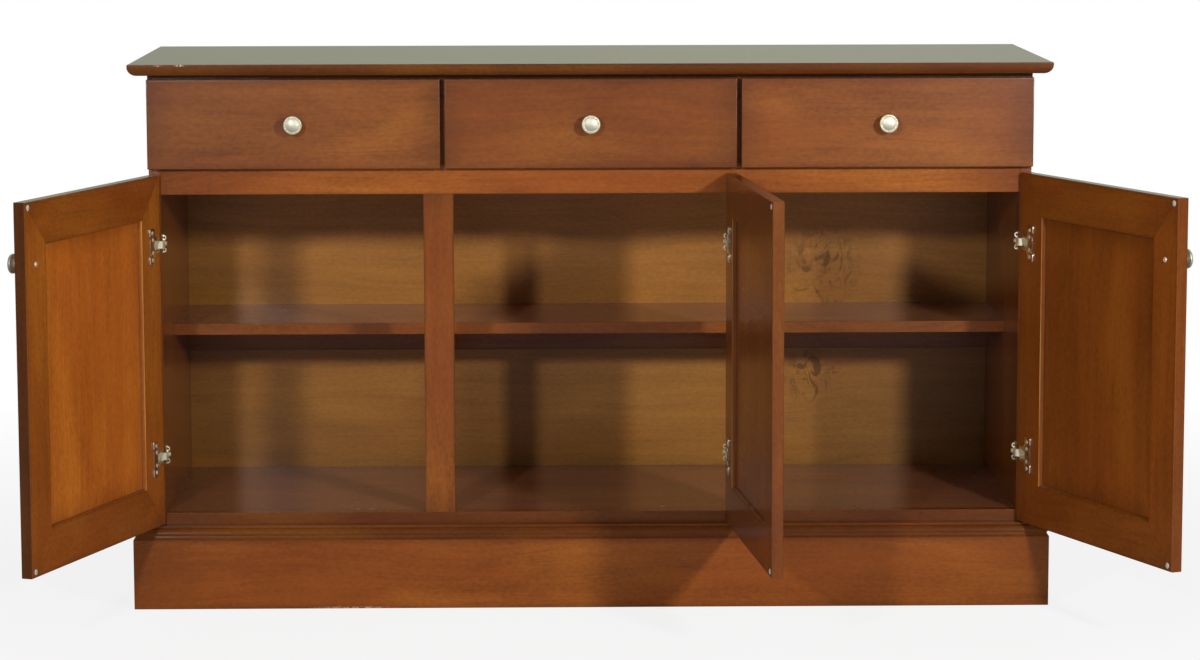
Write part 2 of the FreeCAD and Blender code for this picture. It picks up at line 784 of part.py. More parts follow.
def make_drawers():
    channels = []
    make_drawer("left", -HALF_INSIDE, -MID_OUTER, channels)
    make_drawer("middle", -MID_INNER, MID_INNER, channels)
    make_drawer("right", MID_OUTER, HALF_INSIDE, channels)
    keep(group("slide_channel_set", channels), "slide_channels")
    slide_z = DRAWER_SILL + size("box_lift") + size("box_height") / 2
    half = size("guide_height") / 2
    guides = []
    for side, hand in (("left", -1), ("right", 1)):
        beam_x = (MID_INNER * hand, MID_OUTER * hand)
        beam_z = (slide_z - half, slide_z + half)
        guides.append(box(side + "_guide_beam", beam_x, (FRAME_BACK, BACK_FACE), beam_z))
    keep(group("guide_pair", guides), "drawer_guides")


# Doors: every piece is drawn closed about its hinge axis, then turned to its open angle

FACE_Y = size("pivot_depth") - size("front_thickness")
INNER_Y = size("pivot_depth")
# The middle door has no knob and is pulled by its free edge
KNOBBED_DOORS = ("left", "right")
FRAME_Y = INNER_Y + size("front_standoff")
TRAY_HALF = size("arm_height") / 2 + size("cup_clearance")
ARM_FACE = size("panel_thickness") - size("pivot_inset") + size("arm_plate_thickness")
TRAY_REACH = ARM_FACE + size("arm_thickness") + size("cup_end_gap")
TRAY_FLOOR = -(size("arm_eye_radius") + size("cup_clearance"))


def member_profile():
    """Section of a door stile or rail: width in from its outer edge, thickness from the outer face."""
    thick = size("front_thickness")
    arris = size("front_arris")
    flat = size("member_width")
    lip = flat + size("bead_width")
    slot = size("panel_field_thickness") + size("panel_play")
    low = (thick - slot) / 2
    high = low + slot
    step = size("bead_step")
    bead = tangent_radius(size("bead_width"), low - step)
    root = lip - size("panel_groove_depth")
    return [(arris, ZERO), (flat, ZERO), (flat, step, bead, True), (lip, low), (root, low), (root, high),
            (lip, high, bead, True), (flat, thick - step), (flat, thick),
            (arris, thick, arris, True), (ZERO, thick - arris), (ZERO, arris, arris, True)]


def make_door_frame(side, hand):
    """Two mitred stiles and rails; the hinge stile is pocketed, the free one bored where there is a knob."""
    depth = size("member_width") + size("bead_width")
    thick = size("front_thickness")
    inset = size("pivot_inset")
    width = FRONTS[side][1]
    hinge_x = inset * -hand
    free_x = (width - inset) * hand
    left_x, right_x = sorted((hinge_x, free_x))
    section = member_profile()
    stiles = {}
    for edge in ("left", "right"):
        name = f"{side}_door_{edge}_stile"
        stiles[edge] = mitred_bar(name, section, DOOR_HEIGHT, depth, thick, True, True)
    hinge_edge, free_edge = ("left", "right") if hand > 0 else ("right", "left")

    wall = size("cup_wall") + size("cup_clearance")
    reach = inset + TRAY_REACH + wall
    half = TRAY_HALF + wall
    floor = thick - size("pivot_depth") + TRAY_FLOOR - wall
    pockets = []
    for along in (size("hinge_inset"), DOOR_HEIGHT - size("hinge_inset")):
        pockets.append(rectangle(along - half, along + half, -OVERRUN, reach))
    carve(stiles[hinge_edge], side + "_door_hinge_pockets", "XY_Plane", floor, thick - floor + OVERRUN,
          outlines=pockets)

    if side in KNOBBED_DOORS:
        bore = size("knob_screw_radius") + size("knob_screw_clearance")
        knob_along = size("door_knob_drop") if free_edge == "right" else DOOR_HEIGHT - size("door_knob_drop")
        carve(stiles[free_edge], side + "_door_knob_hole", "XY_Plane", -OVERRUN, thick + OVERRUN * 2,
              circles=[(knob_along, size("door_knob_inset"), bore)])

    rails = []
    for edge in ("top", "bottom"):
        rails.append(mitred_bar(f"{side}_door_{edge}_rail", section, width, depth, thick, True, True))
    place(stiles["left"], left_x, FACE_Y, DOOR_LOW, STANDING_LEFT)
    place(stiles["right"], right_x, FACE_Y, DOOR_TOP, STANDING_RIGHT)
    place(rails[0], left_x, FACE_Y, DOOR_TOP, LYING_HIGH)
    place(rails[1], right_x, FACE_Y, DOOR_LOW, LYING_LOW)
    return list(stiles.values()), rails


def make_door_panel(side, hand):
    edge = size("member_width") + size("bead_width") - size("panel_groove_depth") + size("panel_play")
    inset = size("pivot_inset")
    x = ((edge - inset) * hand, (FRONTS[side][1] - inset - edge) * hand)
    low = FACE_Y + (size("front_thickness") - size("panel_field_thickness")) / 2
    y = (low, low + size("panel_field_thickness"))
    return box(side + "_door_panel_board", x, y, (DOOR_LOW + edge, DOOR_TOP - edge))


def make_hinge_cup(name, hand, height):
    """Cup, flange, two screws and pin of one hinge, on the door."""
    wall = size("cup_wall")
    low_x = size("cup_clearance") - size("pivot_inset")
    high_x = TRAY_REACH + wall
    outer = TRAY_HALF + wall
    shell = box(name + "_shell", (low_x, high_x), (TRAY_FLOOR - wall, INNER_Y), (-outer, outer))
    proud = INNER_Y + size("flange_thickness")
    tall = size("flange_height") / 2
    waist = size("flange_waist") / 2
    reach = size("flange_reach")
    flange = new_body(name + "_flange")
    shoulder = size("flange_screw_reach") - size("flange_screw_radius") * 2
    extrude(flange, name + "_flange_plate", "XZ_Plane", -proud, size("flange_thickness"), [
        (wall, -waist), (TRAY_REACH - wall, -waist), (shoulder, -tall), (reach, -tall),
        (reach, tall), (shoulder, tall), (TRAY_REACH - wall, waist), (wall, waist)])
    hollow = box(name + "_hollow", (low_x - OVERRUN, TRAY_REACH), (TRAY_FLOOR, proud + OVERRUN),
                 (-TRAY_HALF, TRAY_HALF))
    tray = cut(name + "_tray", fuse(name + "_blank", [shell, flange]), [hollow])
    pin_half = TRAY_HALF + wall / 2
    pin = cylinder(name + "_pin", size("pin_radius"), pin_half * 2, ZERO, ZERO, -pin_half, UPWARD)
    screw_y = INNER_Y + size("flange_thickness") / 2
    screws = []
    for end, hand_z in (("low", -1), ("high", 1)):
        screw_z = size("flange_screw_spacing") / 2 * hand_z
        screws.append(cylinder(f"{name}_{end}_screw", size("flange_screw_radius"), size("flange_thickness"),
                               size("flange_screw_reach"), screw_y, screw_z, INWARD))
    cup = fuse(name, [tray, pin] + screws)
    return place(cup, ZERO, ZERO, height, ALONG_X if hand > 0 else TURNED_OVER)


def make_hinge_arm(name, pivot_x, hand, edge_gap, height):
    """Plate on the stile's inner edge with a bent arm that reaches out to the pin."""
    half = size("arm_height") / 2
    metal = size("arm_thickness")
    eye = size("arm_eye_radius")
    face = edge_gap + size("arm_plate_thickness")
    outer = face + metal
    bend = metal + eye / 2
    margin = size("arm_plate_margin")
    plate_y = (FRAME_Y + margin, FRAME_Y + size("frame_thickness") - margin)
    middle_y = (plate_y[0] + plate_y[1]) / 2
    tail_y = plate_y[1] - margin
    arm = new_body(name + "_bent")
    extrude(arm, name + "_strap", "XY_Plane", -half, half * 2, [
        (ZERO, -eye), (outer - bend, -eye, bend, True), (outer, bend - eye), (outer, tail_y), (face, tail_y),
        (face, eye), (ZERO, eye, eye, True), (-eye, ZERO, eye, True)])
    carve(arm, name + "_eye", "XY_Plane", -half - OVERRUN, (half + OVERRUN) * 2,
          circles=[(ZERO, ZERO, size("pin_radius") + size("pin_clearance"))])
    plate_half = size("arm_plate_height") / 2
    plate = box(name + "_plate_blank", (edge_gap, face), plate_y, (-plate_half, plate_half))
    slot = size("arm_slot_radius")
    through = size("arm_plate_thickness") + OVERRUN * 2
    hole_x = edge_gap - OVERRUN
    holes = []
    for end, hand_z in (("low", -1), ("high", 1)):
        hole_z = size("arm_slot_spacing") / 2 * hand_z
        holes.append(cylinder(f"{name}_{end}_slot", slot, through, hole_x, middle_y, hole_z, RIGHTWARD))
    head = size("arm_screw_radius")
    screw = cylinder(name + "_screw", head, size("arm_screw_height"), outer, middle_y, ZERO, RIGHTWARD)
    whole = fuse(name, [arm, cut(name + "_plate", plate, holes), screw])
    return place(whole, pivot_x, PIVOT_Y, height, ALONG_X if hand > 0 else TURNED_OVER)


def make_bumper(name, x, z):
    return cylinder(name, size("bumper_radius"), size("bumper_height"), x, INNER_Y, z, INWARD)


def hang(label, members, pivot_x, axis, angle):
    """Groups a door's pieces and turns them about the hinge axis to the open angle."""
    piece = group(label + "_set", members)
    turn = FreeCAD.Rotation(axis, sheet.get(angle))
    keep(place(piece, pivot_x, PIVOT_Y, ZERO, turn), label)


def make_door(side, hand, pivot_x, edge_gap, angle, arms):
    """hand is 1 where the hinges are on the door's left edge and -1 on its right edge."""
    axis = FreeCAD.Vector(0, 0, -hand)
    free = (FRONTS[side][1] - size("pivot_inset")) * hand
    stiles, rails = make_door_frame(side, hand)
    hang(side + "_door_stiles", stiles, pivot_x, axis, angle)
    hang(side + "_door_rails", rails, pivot_x, axis, angle)
    hang(side + "_door_panel", [make_door_panel(side, hand)], pivot_x, axis, angle)

    if side in KNOBBED_DOORS:
        knob_x = free - size("door_knob_inset") * hand
        knob_z = DOOR_TOP - size("door_knob_drop")
        knob = place(make_knob(side + "_door_knob_turned"), knob_x, FACE_Y, knob_z)
        screw = make_knob_screw(side + "_door_screw", knob_x, INNER_Y, knob_z, size("front_thickness"))
        hang(side + "_door_knob", [knob, screw], pivot_x, axis, angle)

    cups = []
    hinge_z = {"low": DOOR_LOW + size("hinge_inset"), "high": DOOR_TOP - size("hinge_inset")}
    for end, height in hinge_z.items():
        cups.append(make_hinge_cup(f"{side}_{end}_cup", hand, height))
        arms.append(make_hinge_arm(f"{side}_{end}_arm", pivot_x, hand, edge_gap, height))
    hang(side + "_door_hinges", cups, pivot_x, axis, angle)

    bumper_x = free - size("bumper_inset") * hand
    drop = size("bumper_drop")
    bumpers = [make_bumper(side + "_low_bumper", bumper_x, DOOR_LOW + drop),
               make_bumper(side + "_high_bumper", bumper_x, DOOR_TOP - drop)]
    hang(side + "_door_bumpers", bumpers, pivot_x, axis, angle)


def make_doors():
    inset = size("pivot_inset")
    end_x = HALF_CASE - inset
    end_gap = size("panel_thickness") - inset
    mid_x = MIDDLE_FRONT_WIDTH / 2 - inset
    mid_gap = size("mid_stile_overlap") - inset
    arms = []
    make_door("left", 1, -end_x, end_gap, "left_door_angle", arms)
    make_door("middle", -1, mid_x, mid_gap, "middle_door_angle", arms)
    make_door("right", -1, end_x, end_gap, "right_door_angle", arms)
    keep(group("hinge_arm_set", arms), "hinge_arms")


def write_parts():
    doc.recompute()
    for item in doc.Objects:
        if "Invalid" in item.State or "Error" in item.State:
            raise RuntimeError(f"{item.Name} failed: {item.State}")
    for piece in parts:
        if piece.Shape.isNull() or not piece.Shape.isValid():
            raise RuntimeError(f"{piece.Label} has no valid shape")
    os.makedirs("parts", exist_ok=True)
    for piece in parts:
        piece.Shape.exportStep(f"parts/{piece.Label}.step")
        print(piece.Label, len(piece.Shape.Solids), round(piece.Shape.Volume))


make_top_board()
make_case()
make_shelf()
make_face_frame()
make_plinth()
make_drawers()
make_doors()
write_parts()
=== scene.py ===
import json
import math
import random

import bmesh
import bpy
from mathutils import Matrix, Vector


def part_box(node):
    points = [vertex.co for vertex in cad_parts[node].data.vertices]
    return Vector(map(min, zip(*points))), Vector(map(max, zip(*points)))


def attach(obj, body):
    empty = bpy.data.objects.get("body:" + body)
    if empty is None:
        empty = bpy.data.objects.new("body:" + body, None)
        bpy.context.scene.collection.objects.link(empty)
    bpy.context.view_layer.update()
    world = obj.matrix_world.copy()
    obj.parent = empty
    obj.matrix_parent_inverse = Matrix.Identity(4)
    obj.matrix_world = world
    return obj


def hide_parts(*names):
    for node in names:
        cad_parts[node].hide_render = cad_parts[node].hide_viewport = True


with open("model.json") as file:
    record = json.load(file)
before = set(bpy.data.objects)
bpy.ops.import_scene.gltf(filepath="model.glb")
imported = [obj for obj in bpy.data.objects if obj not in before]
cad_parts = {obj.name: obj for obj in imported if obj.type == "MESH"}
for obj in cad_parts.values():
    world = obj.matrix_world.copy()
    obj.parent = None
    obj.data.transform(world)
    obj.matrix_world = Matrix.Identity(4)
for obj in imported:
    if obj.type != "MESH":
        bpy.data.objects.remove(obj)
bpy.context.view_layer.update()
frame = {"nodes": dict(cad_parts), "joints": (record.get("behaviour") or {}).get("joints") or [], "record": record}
scene = bpy.context.scene
SIDES = ("left", "middle", "right")
KNOBBED_DOORS = ("left", "right")

# Stains: the light, dark and amber parts of the wood
CHERRY = ((0.315, 0.080, 0.0085), (0.145, 0.032, 0.0035), (0.425, 0.136, 0.0130))
HONEY = ((0.490, 0.200, 0.0300), (0.230, 0.088, 0.0140), (0.500, 0.230, 0.0400))
MAPLE = ((0.560, 0.370, 0.190), (0.400, 0.240, 0.110), (0.600, 0.410, 0.200))
# Other colours
BARE_WOOD = (0.760, 0.620, 0.420)
# Paler stain on rubbed arrises; at full strength it is also a painted highlight along the step beside a door's
# panel
RUBBED_ARRIS_AND_BEAD_HIGHLIGHT = (0.900, 0.380, 0.080)
NICKEL = (0.920, 0.830, 0.610)
PEARL = (0.870, 0.835, 0.680)
PLATING = (0.860, 0.800, 0.660)
ZINC = (0.560, 0.570, 0.580)
BUMPER = (0.860, 0.830, 0.760)
PALE_FLOOR = (0.850, 0.850, 0.845)
# Painted reflection: the floor's colour in glossy rays, darker than the floor itself
MIRRORED_FLOOR = (0.200, 0.200, 0.195)
WHITE = (1.0, 1.0, 1.0)
REFLECTED_LIGHT = (0.92, 1.0, 0.80)

# The wood's figure: how often each pattern repeats in a metre along the grain, across it and through it
SWAY = (1.5, 5.0, 5.0)
CLOUDS = (4.0, 11.0, 11.0)
HUES = (2.4, 6.5, 6.5)
MOTTLE = (110.0, 210.0, 210.0)
RINGS = (1.8, 62.0, 62.0)
STREAKS = (11.0, 560.0, 560.0)
PORES = (120.0, 1500.0, 1500.0)
# How far the grain wanders to each side
SWAY_REACH = 0.035
# How much of the dark stain each pattern brings, and how much amber there is at most
CLOUD_DEPTH = 0.46
RING_DEPTH = 0.30
STREAK_DEPTH = 0.18
MOTTLE_DEPTH = (-0.12, 0.18)
PORE_DEPTH = 0.35
MOST_AMBER = 0.75
# How pale a board is in its middle and at its edges
BOARD_TONES = (1.02, 0.74)
# Burls: their folds' pattern over X, Y and Z, their depth and how dark they are next to the stain's dark part
FOLDS = (34.0, 1.0, 20.0)
FOLD_DEPTH = 0.85
FOLD_SHADE = 0.6
# A burled board is darker low down than it is high up
LOW_AND_HIGH = (0.2, 0.7)
LOW_AND_HIGH_TONES = (0.86, 1.22)
GRAIN_RELIEF = 0.00006


# Shader trees


class Shading:
    """The node tree of a material or of the world, with short calls for the nodes that they share."""

    def __init__(self, holder):
        self.holder = holder
        holder.use_nodes = True
        self.tree = holder.node_tree
        self.tree.nodes.clear()
        self.output = self.node("OutputWorld" if isinstance(holder, bpy.types.World) else "OutputMaterial")

    def node(self, kind, **settings):
        made = self.tree.nodes.new("ShaderNode" + kind)
        for name, value in settings.items():
            setattr(made, name, value)
        return made

    def feed(self, socket, value):
        if isinstance(value, bpy.types.NodeSocket):
            self.tree.links.new(value, socket)
        elif hasattr(value, "__len__") and len(value) == 3 and socket.type == "RGBA":
            socket.default_value = (*value, 1.0)
        else:
            socket.default_value = value

    def place(self):
        return self.node("TexCoord").outputs["Object"]

    def board(self):
        """Place on the board: along its grain, across it and through it."""
        return self.attribute("grain")["Vector"]

    def stretch(self, vector, scale):
        made = self.node("VectorMath", operation="MULTIPLY")
        self.feed(made.inputs[0], vector)
        self.feed(made.inputs[1], scale)
        return made.outputs[0]

    def join(self, x, y, z):
        made = self.node("CombineXYZ")
        for socket, value in zip(made.inputs, (x, y, z)):
            self.feed(socket, value)
        return made.outputs[0]

    def split(self, vector):
        made = self.node("SeparateXYZ")
        self.feed(made.inputs[0], vector)
        return made.outputs

    def length(self, vector):
        made = self.node("VectorMath", operation="LENGTH")
        self.feed(made.inputs[0], vector)
        return made.outputs["Value"]

    def attribute(self, name):
        return self.node("Attribute", attribute_name=name).outputs

    def shift(self, vector, offset):
        made = self.node("VectorMath", operation="ADD")
        self.feed(made.inputs[0], vector)
        self.feed(made.inputs[1], offset)
        return made.outputs[0]

    def dim(self, color, share):
        """A colour times a share that may differ from place to place."""
        return self.stretch(color, self.join(share, share, share))

    def near(self, place, reach):
        """1 at a place on the object, falling to 0 at the reach along each axis."""
        apart = self.shift(self.place(), tuple(-part for part in place))
        scaled = self.stretch(apart, tuple(1.0 / part for part in reach))
        return self.span(self.length(scaled), 0.5, 1.0, 1.0, 0.0)

    def noise(self, vector, scale=1.0, detail=2.0, roughness=0.5, distortion=0.0):
        made = self.node("TexNoise")
        self.feed(made.inputs["Vector"], vector)
        self.feed(made.inputs["Scale"], scale)
        self.feed(made.inputs["Detail"], detail)
        self.feed(made.inputs["Roughness"], roughness)
        self.feed(made.inputs["Distortion"], distortion)
        return made.outputs["Fac"]

    def sum(self, operation, first, second=0.0, clamp=False):
        made = self.node("Math", operation=operation, use_clamp=clamp)
        self.feed(made.inputs[0], first)
        self.feed(made.inputs[1], second)
        return made.outputs[0]

    def span(self, value, low, high, to_low=0.0, to_high=1.0):
        made = self.node("MapRange")
        names = ("Value", "From Min", "From Max", "To Min", "To Max")
        for name, number in zip(names, (value, low, high, to_low, to_high)):
            self.feed(made.inputs[name], number)
        return made.outputs["Result"]

    def blend(self, factor, first, second):
        made = self.node("Mix", data_type="RGBA")
        self.feed(made.inputs[0], factor)
        self.feed(made.inputs[6], first)
        self.feed(made.inputs[7], second)
        return made.outputs[2]

    def bump(self, height, distance, strength=1.0):
        made = self.node("Bump")
        self.feed(made.inputs["Height"], height)
        self.feed(made.inputs["Distance"], distance)
        self.feed(made.inputs["Strength"], strength)
        return made.outputs["Normal"]

    def surface(self, color, roughness, normal, **constants):
        shader = self.node("BsdfPrincipled")
        self.feed(shader.inputs["Base Color"], color)
        self.feed(shader.inputs["Roughness"], roughness)
        self.feed(shader.inputs["Normal"], normal)
        for name, value in constants.items():
            shader.inputs[name.replace("_", " ")].default_value = value
        self.feed(self.output.inputs["Surface"], shader.outputs["BSDF"])
        return self.holder


def new_shading(name):
    return Shading(bpy.data.materials.new(name))


def times(color, share):
    return tuple(part * share for part in color)


def burled(f, color, dark, burls):
    """Adds dark wrinkled figure around each (place, reach), on a board that is darker low down."""
    for place, reach in burls:
        folds = f.noise(f.stretch(f.place(), FOLDS), detail=3.0, roughness=0.6, distortion=2.4)
        folds = f.sum("MULTIPLY", f.near(place, reach), f.span(folds, 0.50, 0.60, 0.0, FOLD_DEPTH))
        color = f.blend(folds, color, times(dark, FOLD_SHADE))
    height = f.split(f.place())["Z"]
    return f.dim(color, f.span(height, *LOW_AND_HIGH, *LOW_AND_HIGH_TONES))


def worn(f, color, marks):
    """Adds a ragged bare spot at each (place, reach, strength)."""
    for place, reach, strength in marks:
        ragged = f.noise(f.place(), scale=420.0, detail=2.0)
        bare = f.sum("MULTIPLY", f.near(place, reach), f.span(ragged, 0.46, 0.56, 0.0, strength))
        color = f.blend(bare, color, BARE_WOOD)
    return color


def lacquered_wood(name, stain, blotch=1.0, coat=1.0, coat_roughness=0.21, dust=0.0, marks=(), burls=()):
    """Stained close-grained wood under satin lacquer, paler on rubbed arrises, and with a painted highlight on
    doors' bead steps.
    """
    light, dark, amber = stain
    f = new_shading(name)
    board = f.board()
    sway = f.noise(f.stretch(board, SWAY), detail=2.0, roughness=0.5)
    bent = f.shift(board, f.join(0.0, f.span(sway, 0.2, 0.8, -SWAY_REACH, SWAY_REACH), 0.0))
    clouds = f.noise(f.stretch(board, CLOUDS), detail=3.0, roughness=0.55, distortion=0.5)
    hue = f.noise(f.stretch(board, HUES), detail=2.0, roughness=0.5)
    mottle = f.noise(f.stretch(board, MOTTLE), detail=3.0, roughness=0.62)
    rings = f.noise(f.stretch(bent, RINGS), detail=4.0, roughness=0.62, distortion=0.9)
    streaks = f.noise(f.stretch(bent, STREAKS), detail=3.0, roughness=0.7)
    pores = f.noise(f.stretch(bent, PORES), detail=1.0)

    depth = f.span(clouds, 0.28, 0.72, 0.0, CLOUD_DEPTH * blotch)
    depth = f.sum("ADD", depth, f.span(rings, 0.35, 0.75, 0.0, RING_DEPTH))
    depth = f.sum("ADD", depth, f.span(streaks, 0.4, 0.75, 0.0, STREAK_DEPTH))
    depth = f.sum("ADD", depth, f.span(mottle, 0.35, 0.7, *MOTTLE_DEPTH), clamp=True)
    color = f.blend(f.span(hue, 0.45, 0.68, 0.0, MOST_AMBER), light, amber)
    color = f.blend(depth, color, dark)
    open_pore = f.span(pores, 0.64, 0.74)
    color = f.blend(f.sum("MULTIPLY", open_pore, PORE_DEPTH), color, dark)

    spot = f.split(f.attribute("spot")["Vector"])
    rim = f.sum("MAXIMUM", f.sum("ABSOLUTE", spot["X"]), f.sum("ABSOLUTE", spot["Y"]))
    tone = f.sum("MULTIPLY", f.attribute("tone")["Fac"], f.span(rim, 0.80, 1.0, *BOARD_TONES))
    color = f.dim(color, tone)
    if burls:
        color = burled(f, color, dark, burls)
    color = worn(f, color, marks)
    # Painted highlight where the arris attribute is full (the step beside a door's panel); elsewhere rubbed
    # arrises show paler stain
    worn_edge_and_highlight = f.sum("MULTIPLY", f.attribute("arris")["Fac"], f.span(clouds, 0.35, 0.65, 0.25, 0.8))
    color = f.blend(worn_edge_and_highlight, color, f.dim(RUBBED_ARRIS_AND_BEAD_HIGHLIGHT, tone))

    relief = f.sum("SUBTRACT", f.sum("MULTIPLY", streaks, 0.6), f.sum("MULTIPLY", open_pore, 0.4))
    return f.surface(color, f.span(mottle, 0.3, 0.7, 0.42, 0.54), f.bump(relief, GRAIN_RELIEF, 0.5),
                     Specular_IOR_Level=0.08, Coat_Weight=coat, Coat_IOR=1.5, Coat_Roughness=coat_roughness,
                     Sheen_Weight=dust, Sheen_Roughness=0.5)


# How often the scratches repeat in a metre, on turned metal and on drawn metal, and how deep they are
TURNED = (900.0, 900.0, 900.0)
DRAWN = (900.0, 30.0, 900.0)
METAL_RELIEF = 0.00002


def brushed_metal(name, color, roughness, scratching=TURNED, metallic=1.0):
    f = new_shading(name)
    place = f.place()
    scratches = f.noise(f.stretch(place, scratching), detail=3.0, roughness=0.6)
    smudges = f.noise(place, scale=90.0, detail=2.0)
    shade = f.blend(f.span(smudges, 0.35, 0.7, 0.0, 0.35), color, times(color, 0.72))
    shine = f.sum("ADD", f.span(scratches, 0.3, 0.7, roughness - 0.06, roughness + 0.08),
                  f.span(smudges, 0.4, 0.7, 0.0, 0.06))
    return f.surface(shade, shine, f.bump(scratches, METAL_RELIEF, 0.5), Metallic=metallic)


def clear_rubber(name):
    f = new_shading(name)
    haze = f.noise(f.place(), scale=700.0, detail=2.0)
    color = f.blend(f.span(haze, 0.3, 0.7), BUMPER, times(BUMPER, 0.9))
    roughness = f.span(haze, 0.3, 0.7, 0.12, 0.24)
    return f.surface(color, roughness, f.bump(haze, 0.00003, 0.3), Transmission_Weight=0.4, IOR=1.49)


# Place, reach and strength of the chips on the top's front edge, the scratches on the cupboard floor and the
# plinth's worn foot
BARE_SPOTS = (
    ((-0.7108, -0.2750, 0.9128), (0.008, 0.004, 0.0022), 0.9),
    ((-0.6760, -0.2750, 0.9128), (0.010, 0.004, 0.0022), 0.9),
    ((-0.3940, -0.1950, 0.158), (0.003, 0.006, 0.003), 0.8),
    ((-0.3720, -0.1950, 0.158), (0.013, 0.004, 0.003), 0.6),
    ((0.1220, -0.1800, 0.158), (0.005, 0.007, 0.003), 0.9),
    ((-0.4000, -0.2577, 0.001), (0.080, 0.004, 0.003), 0.7),
)
# Place and reach of the two burls on the back panel
BACK_BURLS = (
    ((0.420, 0.231, 0.515), (0.075, 0.1, 0.085)),
    ((0.405, 0.231, 0.320), (0.060, 0.1, 0.060)),
)
stained = lacquered_wood("stained_wood", CHERRY, marks=BARE_SPOTS)
dusty = lacquered_wood("dusty_wood", CHERRY, coat_roughness=0.22, dust=0.02, marks=BARE_SPOTS)
hazy = lacquered_wood("hazy_wood", CHERRY, coat_roughness=0.27, dust=0.02)
glossy = lacquered_wood("glossy_wood", CHERRY, coat_roughness=0.10)
veneer = lacquered_wood("back_wood", HONEY, coat=0.85, coat_roughness=0.27, burls=BACK_BURLS)
plain = lacquered_wood("box_wood", MAPLE, blotch=0.6, coat=0.3, coat_roughness=0.4)
nickel = brushed_metal("nickel", NICKEL, 0.37, metallic=0.6)
pearly = brushed_metal("pearly_nickel", PEARL, 0.50, metallic=0.88)
plated = brushed_metal("plated_steel", PLATING, 0.20)
zinc = brushed_metal("zinc_steel", ZINC, 0.34, DRAWN)
rubber = clear_rubber("clear_bumper")
FINISHES = {
    "stained_wood": stained, "back_wood": veneer, "box_wood": plain, "nickel": nickel, "zinc_steel": zinc,
    "clear_bumper": rubber,
}
SLOT_OF = {row["node"]: row["material_slot"] for row in frame["record"]["subparts"]}
# Pieces whose finish isn't their slot's usual one
OWN_FINISH = {
    "shelf": dusty, "floor_panel": dusty, "base_cap_front": glossy, "base_cap_left": glossy,
    "base_cap_right": glossy,
}
OWN_FINISH.update({side + "_drawer_front": hazy for side in SIDES})


# How pale each board is, where it isn't 1: its stain's tone, and on the middle door and the side panels painted
# shade
STAIN_TONES_AND_PAINTED_SHADE = {
    "left_drawer_front": 0.86, "middle_drawer_front": 0.88, "right_drawer_front": 0.97,
    "top_board": 0.72, "top_rail": 0.9, "middle_rail": 1.33, "bottom_rail": 0.81, "shelf": 1.35,
    "base_cap_front": 0.68, "plinth_front": 1.11,
    # Painted shade: the middle door's boards are darkened
    "middle_door_stiles": 0.72, "middle_door_rails": 0.72, "middle_door_panel": 0.78,
    # Painted shade: the side panels are darkened
    "left_side_panel": 0.88, "right_side_panel": 0.78,
    "left_door_panel": 1.95, "left_door_stiles": 1.25, "left_door_rails": 0.98,
    "right_door_panel": 0.98, "right_door_stiles": 0.94, "right_door_rails": 0.84,
}
# How far the stain is rubbed off the arrises, less on the boards near the floor
RUBBING = 0.35
LOW_RUBBING = 0.08
LOW_BOARDS = ("base_cap", "plinth", "bottom_rail")
# From a door's hinge edge to the step beside its panel, how near to that the step lies and how deep it is; the
# step gets a painted highlight
STILE_TO_STEP = 0.069
STEP_REACH = 0.001
STEP_DEPTH = 0.0022
# How much of a door's tone its free edge keeps, with the side it faces when shut (1 is +X, -1 is -X)
EDGE_TONES = {"left_door_stiles": (1.0, 0.4), "middle_door_stiles": (-1.0, 1.3)}
PLAIN_EDGE = (1.0, 1.0)
# A face belongs to the free edge, or to the step, where it looks that way by at least this much
TOWARD_EDGE = 0.7
TOWARD_PANEL = 0.6
FREE_EDGE_REACH = 0.002
# Each board's start in the figure lies this far in at most, and its tone strays this little
FIGURE_START = 40.0
TONE_SPREAD = (0.96, 1.04)
# Width of the rounding on sharp edges, and its steps
DOOR_FRAME_EDGE = (0.0008, 3)
BOARD_EDGE = (0.0004, 2)
METAL_EDGE = (0.0002, 1)
# Degrees between neighbouring faces: up to FLAT they become one, and past SHARP their edge is rounded
FLAT = 0.3
SHARP = 30.0
# Past a crease the shading breaks; turned and stamped forms break sooner than boards
BOARD_CREASE = 50.0
FORM_CREASE = 35.0
# How much the broad faces outweigh the narrow ones in the shading
FLAT_FACE_WEIGHT = 60


# The doors' hinge axes and the turn from shut to the pose at rest


def hinge_of(side):
    return next(joint for joint in frame["joints"] if joint["name"] == side + "_door_hinge")


def open_turn(side):
    """Rotation about the hinge that takes a shut door to where it stands at rest."""
    joint = hinge_of(side)
    low, high = joint["range_deg"]
    shut = high if side == "left" else low
    pivot = Matrix.Translation(Vector(joint["pos_m"]))
    return pivot @ Matrix.Rotation(-math.radians(shut), 4, "Z") @ pivot.inverted()


def body_of(node):
    return next(body for body, members in frame["record"]["behaviour"]["bodies"].items() if node in members)


def turn_of(body):
    return open_turn(body.split("_")[0]) if body.endswith("_door") else Matrix.Identity(4)


# Meshes


def new_piece(name, mesh, body, slot, finish=None):
    piece = bpy.data.objects.new(name, mesh)
    scene.collection.objects.link(piece)
    piece.data.materials.clear()
    piece.data.materials.append(finish or FINISHES[slot])
    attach(piece, body)
    return piece


def solid_form(mesh):
    """Merged copy of a CAD mesh, each solid by itself.

    A solid ends where every edge has met its opposite.
    """
    edit = bmesh.new()
    unmatched = set()
    corner_at = {}
    for face in mesh.polygons:
        keys = []
        for index in face.vertices:
            place = mesh.vertices[index].co
            key = tuple(round(part, 5) for part in place)
            keys.append(key)
            if key not in corner_at:
                corner_at[key] = edit.verts.new(place)
        for pair in zip(keys, keys[1:] + keys[:1]):
            if pair[::-1] in unmatched:
                unmatched.remove(pair[::-1])
            elif pair[0] != pair[1]:
                unmatched.add(pair)
        if len(set(keys)) == len(keys):
            edit.faces.new([corner_at[key] for key in keys])
        if not unmatched:
            corner_at = {}
    return edit


